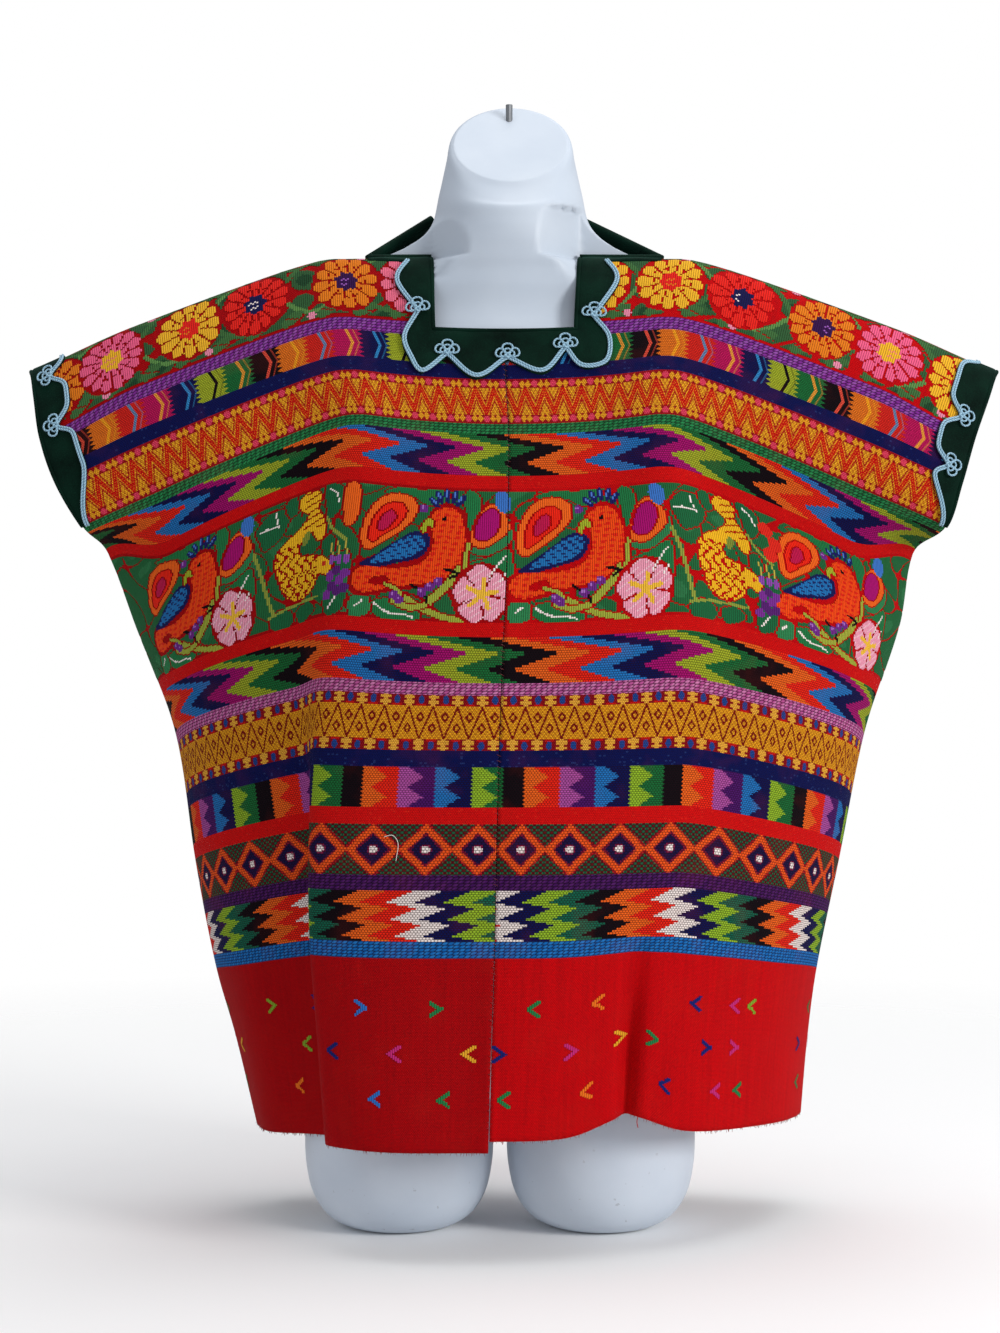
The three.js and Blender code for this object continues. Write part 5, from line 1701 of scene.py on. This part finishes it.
@dataclass
class LooseThreads:
    """The frayed hem, the stitches of the centre seam and the few threads that hang loose."""

    seed: int = 7
    count: int = 260

    def hem(self, cord: bpy.types.Material) -> bpy.types.Object:
        """Short frayed threads along the hem, each 1 to 3 mm long."""
        rng = np.random.default_rng(self.seed)
        parts = []
        for side in Side:
            for layer in Layer:
                n = self.count
                across = np.sort(rng.uniform(1, PANEL_WIDTH - 1, n))
                root = DRAPE.points(side, layer, across, np.full_like(across, side.hem - 0.6))
                reach = np.stack([rng.normal(0, 0.5, n), rng.normal(0, 0.4, n), -rng.uniform(0.8, 3.0, n)], -1)
                parts.append(strands(root, root + reach, 0.22))
        piece = Patch.joined(parts).make("hem_fray", [cord])
        return piece

    def seam(self, cord: bpy.types.Material) -> bpy.types.Object:
        """Small slanted stitches over the centre seam, front and back, every 4 mm."""
        parts = []
        for layer in Layer:
            drop = np.arange(NECK_DROP + 4, 652, 4.2)
            lift = np.full_like(drop, CLOTH_HALF + 0.1)
            left = DRAPE.lifted(Side.LEFT, layer, np.full_like(drop, 1.3), drop, lift)
            right = DRAPE.lifted(Side.RIGHT, layer, np.full_like(drop, 1.3), drop + 1.4, lift)
            parts.append(strands(left, right, 0.3))
        piece = Patch.joined(parts).make("centre_seam_stitches", [cord])
        return piece

    def loose(self, white: bpy.types.Material, dark: bpy.types.Material) -> list[bpy.types.Object]:
        """A pale thread caught on a diamond and a dark one hanging from the hem's notch."""
        line = curve_through(np.array([[-76, 441], [-70, 440], [-66, 446], [-67, 458]]), 8)
        path = DRAPE.lifted_signed(Layer.FRONT, line[:, 0], line[:, 1], np.full(len(line), CLOTH_HALF + 0.5))
        pale = tube(path, np.tile([0.0, -1.0, 0.0], (len(path), 1)), 0.28, 6).make("loose_thread_pale", [white])
        root = DRAPE.points(Side.RIGHT, Layer.FRONT, np.array([112.0]), np.array([652.0]))[0]
        bend = np.array([[0, 0, 0], [0.8, -0.6, -4], [0.2, -1.0, -8], [1.0, -0.8, -12]], float)
        hang = curve_through(root + bend, 6)
        drip = tube(hang, np.tile([0.0, -1.0, 0.0], (len(hang), 1)), 0.35, 6).make("loose_thread_dark", [dark])
        return [pale, drip]


# The dress form and the studio

TORSO_TABLE = np.array([
    # height, half width, half depth, middle, x, core, ridge, tilt
    [104, 112, 58, 0, 0, 112, 0, 0], [112, 122, 66, 0, 0, 122, 0, 0], [150, 132, 76, 0, 0, 132, 0, 0],
    [220, 137, 84, 1, 0, 137, 1, 0], [300, 128, 80, 0, 0, 128, 0, 0], [390, 114, 74, -4, 0, 114, -4, 0],
    [470, 124, 82, -10, 0, 124, -10, 0], [540, 142, 84, -8, 0, 142, -8, 0], [600, 164, 74, -4, 0, 130, -4, 0],
    [650, 182, 57, -6, 0, 100, -6, 0], [685, 190, 39, -8, 0, 80, -8, 0], [703, 184, 41, -8, 0, 62, -13, 0],
    [713, 158, 42, -8, 4, 52, -16, 0], [721, 112, 44, -8, 6, 50, -19, 0], [728, 90, 46, -7, 7, 51, -18, 0],
    [735, 76, 48, -6, 7.5, 52, -14, 0], [743, 66, 50, -4, 8, 54, -8, 0], [754, 59, 51, -2, 8, 56, -2, 0.08],
    [776, 54, 51, 0, 8, 54, 0, 0.35],
    [800, 48.5, 46, 0, 8, 48.5, 0, 0.8], [812, 46, 38, 0, 8, 46, 0, 1], [814.5, 43, 35, 0, 8, 43, 0, 1],
])
STUB_TABLE = np.array([
    [0, 0.5], [2.5, 0.62], [10, 0.78], [24, 0.91], [46, 0.985], [75, 1.0], [150, 0.97],
])
STUB_CENTRE, STUB_WIDE, STUB_DEEP = 76.0, 71.0, 68.0


@dataclass
class DressForm:
    """The limbless torso form: a smooth loft for the trunk and neck, and two thigh stubs with flat soles."""

    sides: int = 96
    steps: int = 7
    margin: float = 2.8

    @staticmethod
    def between(rings: Array, steps: int) -> Array:
        """Smooth rings between the given ones: cubic stretches with slopes that allow for uneven spacing.

        Args:
            rings: rings by points by x, y, z. steps: rings to make for each stretch.

        Returns:
            The finer rings, with the first and last kept.
        """
        gap = np.sqrt(np.linalg.norm(np.diff(rings, axis=0), axis=-1).mean(1))[:, None, None]
        rate = np.diff(rings, axis=0) / gap
        slope = np.concatenate([
            rate[:1], (rate[1:] * gap[:-1] + rate[:-1] * gap[1:]) / (gap[1:] + gap[:-1]), rate[-1:],
        ])
        t = (np.arange(steps) / steps)[None, :, None, None]
        low, high = rings[:-1, None], rings[1:, None]
        m0, m1 = (slope[:-1] * gap)[:, None], (slope[1:] * gap)[:, None]
        out = (low * (1 + 2 * t) * (1 - t) ** 2 + m0 * t * (1 - t) ** 2
               + high * t * t * (3 - 2 * t) - m1 * t * t * (1 - t))
        return np.concatenate([out.reshape(-1, *rings.shape[1:]), rings[-1:]])

    def loft(self, rings: Array) -> Patch:
        """A closed body over rings, its ends closed by rings that shrink to their middles.

        Args:
            rings: rings by points by x, y, z.

        Returns:
            The closed patch.
        """
        shares = np.array([0.97, 0.8, 0.5, 0.2])[:, None, None]
        first, last = rings[0].mean(0), rings[-1].mean(0)
        rings = np.concatenate([
            (first + (rings[0] - first) * shares)[::-1], rings, last + (rings[-1] - last) * shares,
        ])
        n, sides = rings.shape[:2]
        index = np.arange(n * sides).reshape(n, sides)
        after = np.roll(index, -1, 1)
        quads = np.stack([index[:-1], after[:-1], after[1:], index[1:]], -1).reshape(-1, 4).tolist()
        return Patch(rings.reshape(-1, 3), [*quads, index[0][::-1].tolist(), index[-1].tolist()])

    def trunk(self) -> Array:
        """The trunk's rings.

        Formula: aside = core cos a + (wide - core) cos^5 a, y = deep sin a + (ridge - middle) cos^2 a.
        """
        a = np.arange(self.sides) * 2 * np.pi / self.sides
        high, wide, deep, middle, x, core, ridge, tilt = (c[:, None] for c in TORSO_TABLE.T)
        aside = core * np.cos(a) + (wide - core) * np.cos(a) ** 5
        y = deep * np.sin(a) + (ridge - middle) * np.cos(a) ** 2
        return self.between(np.stack([x + aside, middle + y, high + tilt * y], -1), self.steps)

    def under_cloth(self, points: Array) -> Array:
        """Holds the trunk inside the cloth, except within the neck opening, where it may rise gradually.

        Each point's place on the cloth is found by stepping across and drop by the x and z still missing.

        Args:
            points: the trunk's points.

        Returns:
            The held points.
        """
        out = points.copy()
        for layer in Layer:
            for side in Side:
                here = (out[..., 0] * side.value >= 0) & (out[..., 2] > 380) & (out[..., 2] < 760)
                here &= (out[..., 1] > -6) if layer is Layer.BACK else (out[..., 1] <= -6)
                target = out[here]
                across, drop = np.abs(target[:, 0]), np.clip(725 - target[:, 2], 0, 380)
                for _ in range(40):
                    at = DRAPE.points(side, layer, across, drop)
                    across = np.clip(across + 0.6 * side.value * (target[:, 0] - at[:, 0]), 0, PANEL_WIDTH)
                    drop = np.clip(drop + 0.6 * (at[:, 2] - target[:, 2]), 0, 420)
                at = DRAPE.points(side, layer, across, drop)
                hole = np.maximum(np.minimum(NECK_HALF - across, NECK_DROP - drop), 0) * 1.1
                limit = at[:, 1] + layer.value * (hole - self.margin)
                if layer is Layer.FRONT:
                    target[:, 1] = np.maximum(target[:, 1], limit)
                else:
                    target[:, 1] = np.minimum(target[:, 1], limit)
                roof = at[:, 2] - self.margin + 40 * smooth((side.slit - 4 - across) / 20)
                above = (drop < 0.5) & (target[:, 2] > roof)
                target[:, 2] = np.where(above, roof, target[:, 2])
                out[here] = target
        return out

    def build(self, finish: bpy.types.Material) -> bpy.types.Object:
        """Builds the form.

        Args:
            finish: its plastic.

        Returns:
            The piece.
        """
        a = np.arange(self.sides) * 2 * np.pi / self.sides
        parts = [self.loft(self.under_cloth(self.trunk()))]
        for side in Side:
            high, share = (c[:, None] for c in STUB_TABLE.T)
            across = side.value * STUB_CENTRE + STUB_WIDE * share * np.cos(a)
            ring = np.stack(np.broadcast_arrays(across, STUB_DEEP * share * np.sin(a), high), -1)
            parts.append(self.loft(self.between(ring, self.steps)))
        piece = Patch.joined(parts).make("dress_form", [finish])
        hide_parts("torso_form")
        return piece


@dataclass
class Studio:
    """A pale floor, a near-white surround, a soft key light from the right front and a weaker fill."""

    distance: float = 1.8
    eye: float = 0.42

    def floor(self) -> None:
        """A wide pale sheet at the part's foot, whose rim fades out: alpha = (1.5 - r) / 1.1."""
        mesh = bpy.data.meshes.new("floor")
        mesh.from_pydata([(-8, -8, 0), (8, -8, 0), (8, 8, 0), (-8, 8, 0)], [], [(0, 1, 2, 3)])
        paper = Graph("studio_floor")
        at = paper.add("ShaderNodeTexCoord").outputs["Object"]
        xyz = paper.add("ShaderNodeSeparateXYZ", None, Vector=at)
        x, y = Value(paper, xyz.outputs[0]), Value(paper, xyz.outputs[1])
        paper.dress(srgb("FCFCFC"), 0.9)
        paper.plug(paper.shader.inputs["Alpha"], ((1.5 - (x * x + y * y) ** 0.5) / 1.1).held())
        mesh.materials.append(paper.material)
        plane = bpy.data.objects.new("floor", mesh)
        bpy.context.scene.collection.objects.link(plane)

    def surround(self, strength: float) -> None:
        """The world's even light, behind a white backdrop."""
        world = bpy.data.worlds.new("studio")
        world.use_nodes = True
        tree = world.node_tree
        back = tree.nodes["Background"]
        back.inputs["Color"].default_value = (0.94, 0.96, 1.0, 1.0)
        back.inputs["Strength"].default_value = strength
        white = tree.nodes.new("ShaderNodeBackground")
        white.inputs["Color"].default_value = (1.0, 1.0, 1.0, 1.0)
        seen = tree.nodes.new("ShaderNodeLightPath")
        both = tree.nodes.new("ShaderNodeMixShader")
        tree.links.new(seen.outputs["Is Camera Ray"], both.inputs[0])
        tree.links.new(back.outputs[0], both.inputs[1])
        tree.links.new(white.outputs[0], both.inputs[2])
        tree.links.new(both.outputs[0], tree.nodes["World Output"].inputs["Surface"])
        bpy.context.scene.world = world

    def lamp(self, name: str, place: tuple, size: float, power: float, colour: tuple) -> None:
        """A square soft light aimed at the tunic's middle."""
        light = bpy.data.lights.new(name, "AREA")
        light.shape, light.size, light.energy, light.color = "SQUARE", size, power, colour
        lamp = bpy.data.objects.new(name, light)
        lamp.location = place
        way = np.array([0, 0, 0.45]) - np.array(place)
        flat = float(np.hypot(way[0], way[1]))
        lamp.rotation_euler = (float(np.arctan2(flat, -way[2])), 0, float(np.arctan2(-way[0], way[1])))
        bpy.context.scene.collection.objects.link(lamp)

    def camera(self) -> None:
        """A level camera 1.8 m in front of the cloth."""
        lens = bpy.data.cameras.new("camera")
        lens.sensor_fit, lens.sensor_height, lens.lens = "VERTICAL", 36, 64.36
        lens.clip_end = 60
        eye = bpy.data.objects.new("camera", lens)
        eye.location = (SHIFT[0] * MM, SHIFT[1] * MM - self.distance, self.eye)
        eye.rotation_euler = (np.pi / 2, 0, 0)
        bpy.context.scene.collection.objects.link(eye)
        bpy.context.scene.camera = eye

    def build(self) -> None:
        """Sets up the whole studio."""
        self.floor()
        bpy.context.scene.view_settings.view_transform = "Standard"
        self.surround(0.48)
        self.lamp("key", (2.6, -1.8, 1.3), 1.0, 66, (1.0, 0.985, 0.96))
        self.lamp("fill", (-1.9, -1.8, 0.5), 1.4, 5, (0.95, 0.97, 1.0))
        self.lamp("top", (0.2, 0.2, 3.0), 2.4, 42, (1.0, 1.0, 1.0))
        self.camera()


@dataclass
class Tunic:
    """The whole huipil: panels, brocade figures, velvets, cords and loose threads."""

    form: bpy.types.Object

    def build(self) -> None:
        dyer, velvet = ClothDyer(), Velvet().material()
        # The second colour of each cord and thread is the painted shade of its ply grooves.
        cord = TwistedCord().material()
        fray = TwistedCord("thread_red", srgb("C2303A"), srgb("7A0C14")).material()
        white = TwistedCord("thread_white", srgb("E8E4DC"), srgb("B8B0A4")).material()
        floats = FloatThread().material()
        for side in Side:
            panels = [WovenPanel(side, layer) for layer in Layer]
            pieces = [panel.build(dyer) for panel in panels]
            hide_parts(f"panel_{side.name.lower()}")
            with_panel = []
            for layer in Layer:
                woven = Patch.joined(figures(side, layer))
                woven_piece = woven.make(f"floats_{side.name.lower()}_{layer.name.lower()}", [floats])
                with_panel.append(woven_piece)
            for piece, panel, own in zip(pieces, panels, with_panel):
                side.hem * MM
                panel.area
        facing = NeckFacing().build(velvet)
        for layer in Layer:
            trim = NeckTrim(layer)
            piece = trim.build(velvet)
            cords = trim.cords(cord)
        for side, notches in ((Side.LEFT, (20.0, 60.0)), (Side.RIGHT, (2.0, 52.0, 95.0))):
            trim = ArmholeTrim(side, notches)
            piece = trim.build(velvet)
            cords = trim.cords(cord)
        threads = LooseThreads()
        threads.hem(fray)
        threads.seam(fray)
        threads.loose(white, fray)


def main() -> None:
    """Builds the scene."""
    logging.basicConfig(level=logging.INFO)
    form = DressForm().build(FormShell().material())
    Tunic(form).build()
    wire = HookWire().material()
    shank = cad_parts["hook_shank"]
    shank.data.materials.clear()
    shank.data.materials.append(wire)
    Studio().build()


if __name__ == "__main__":
    main()
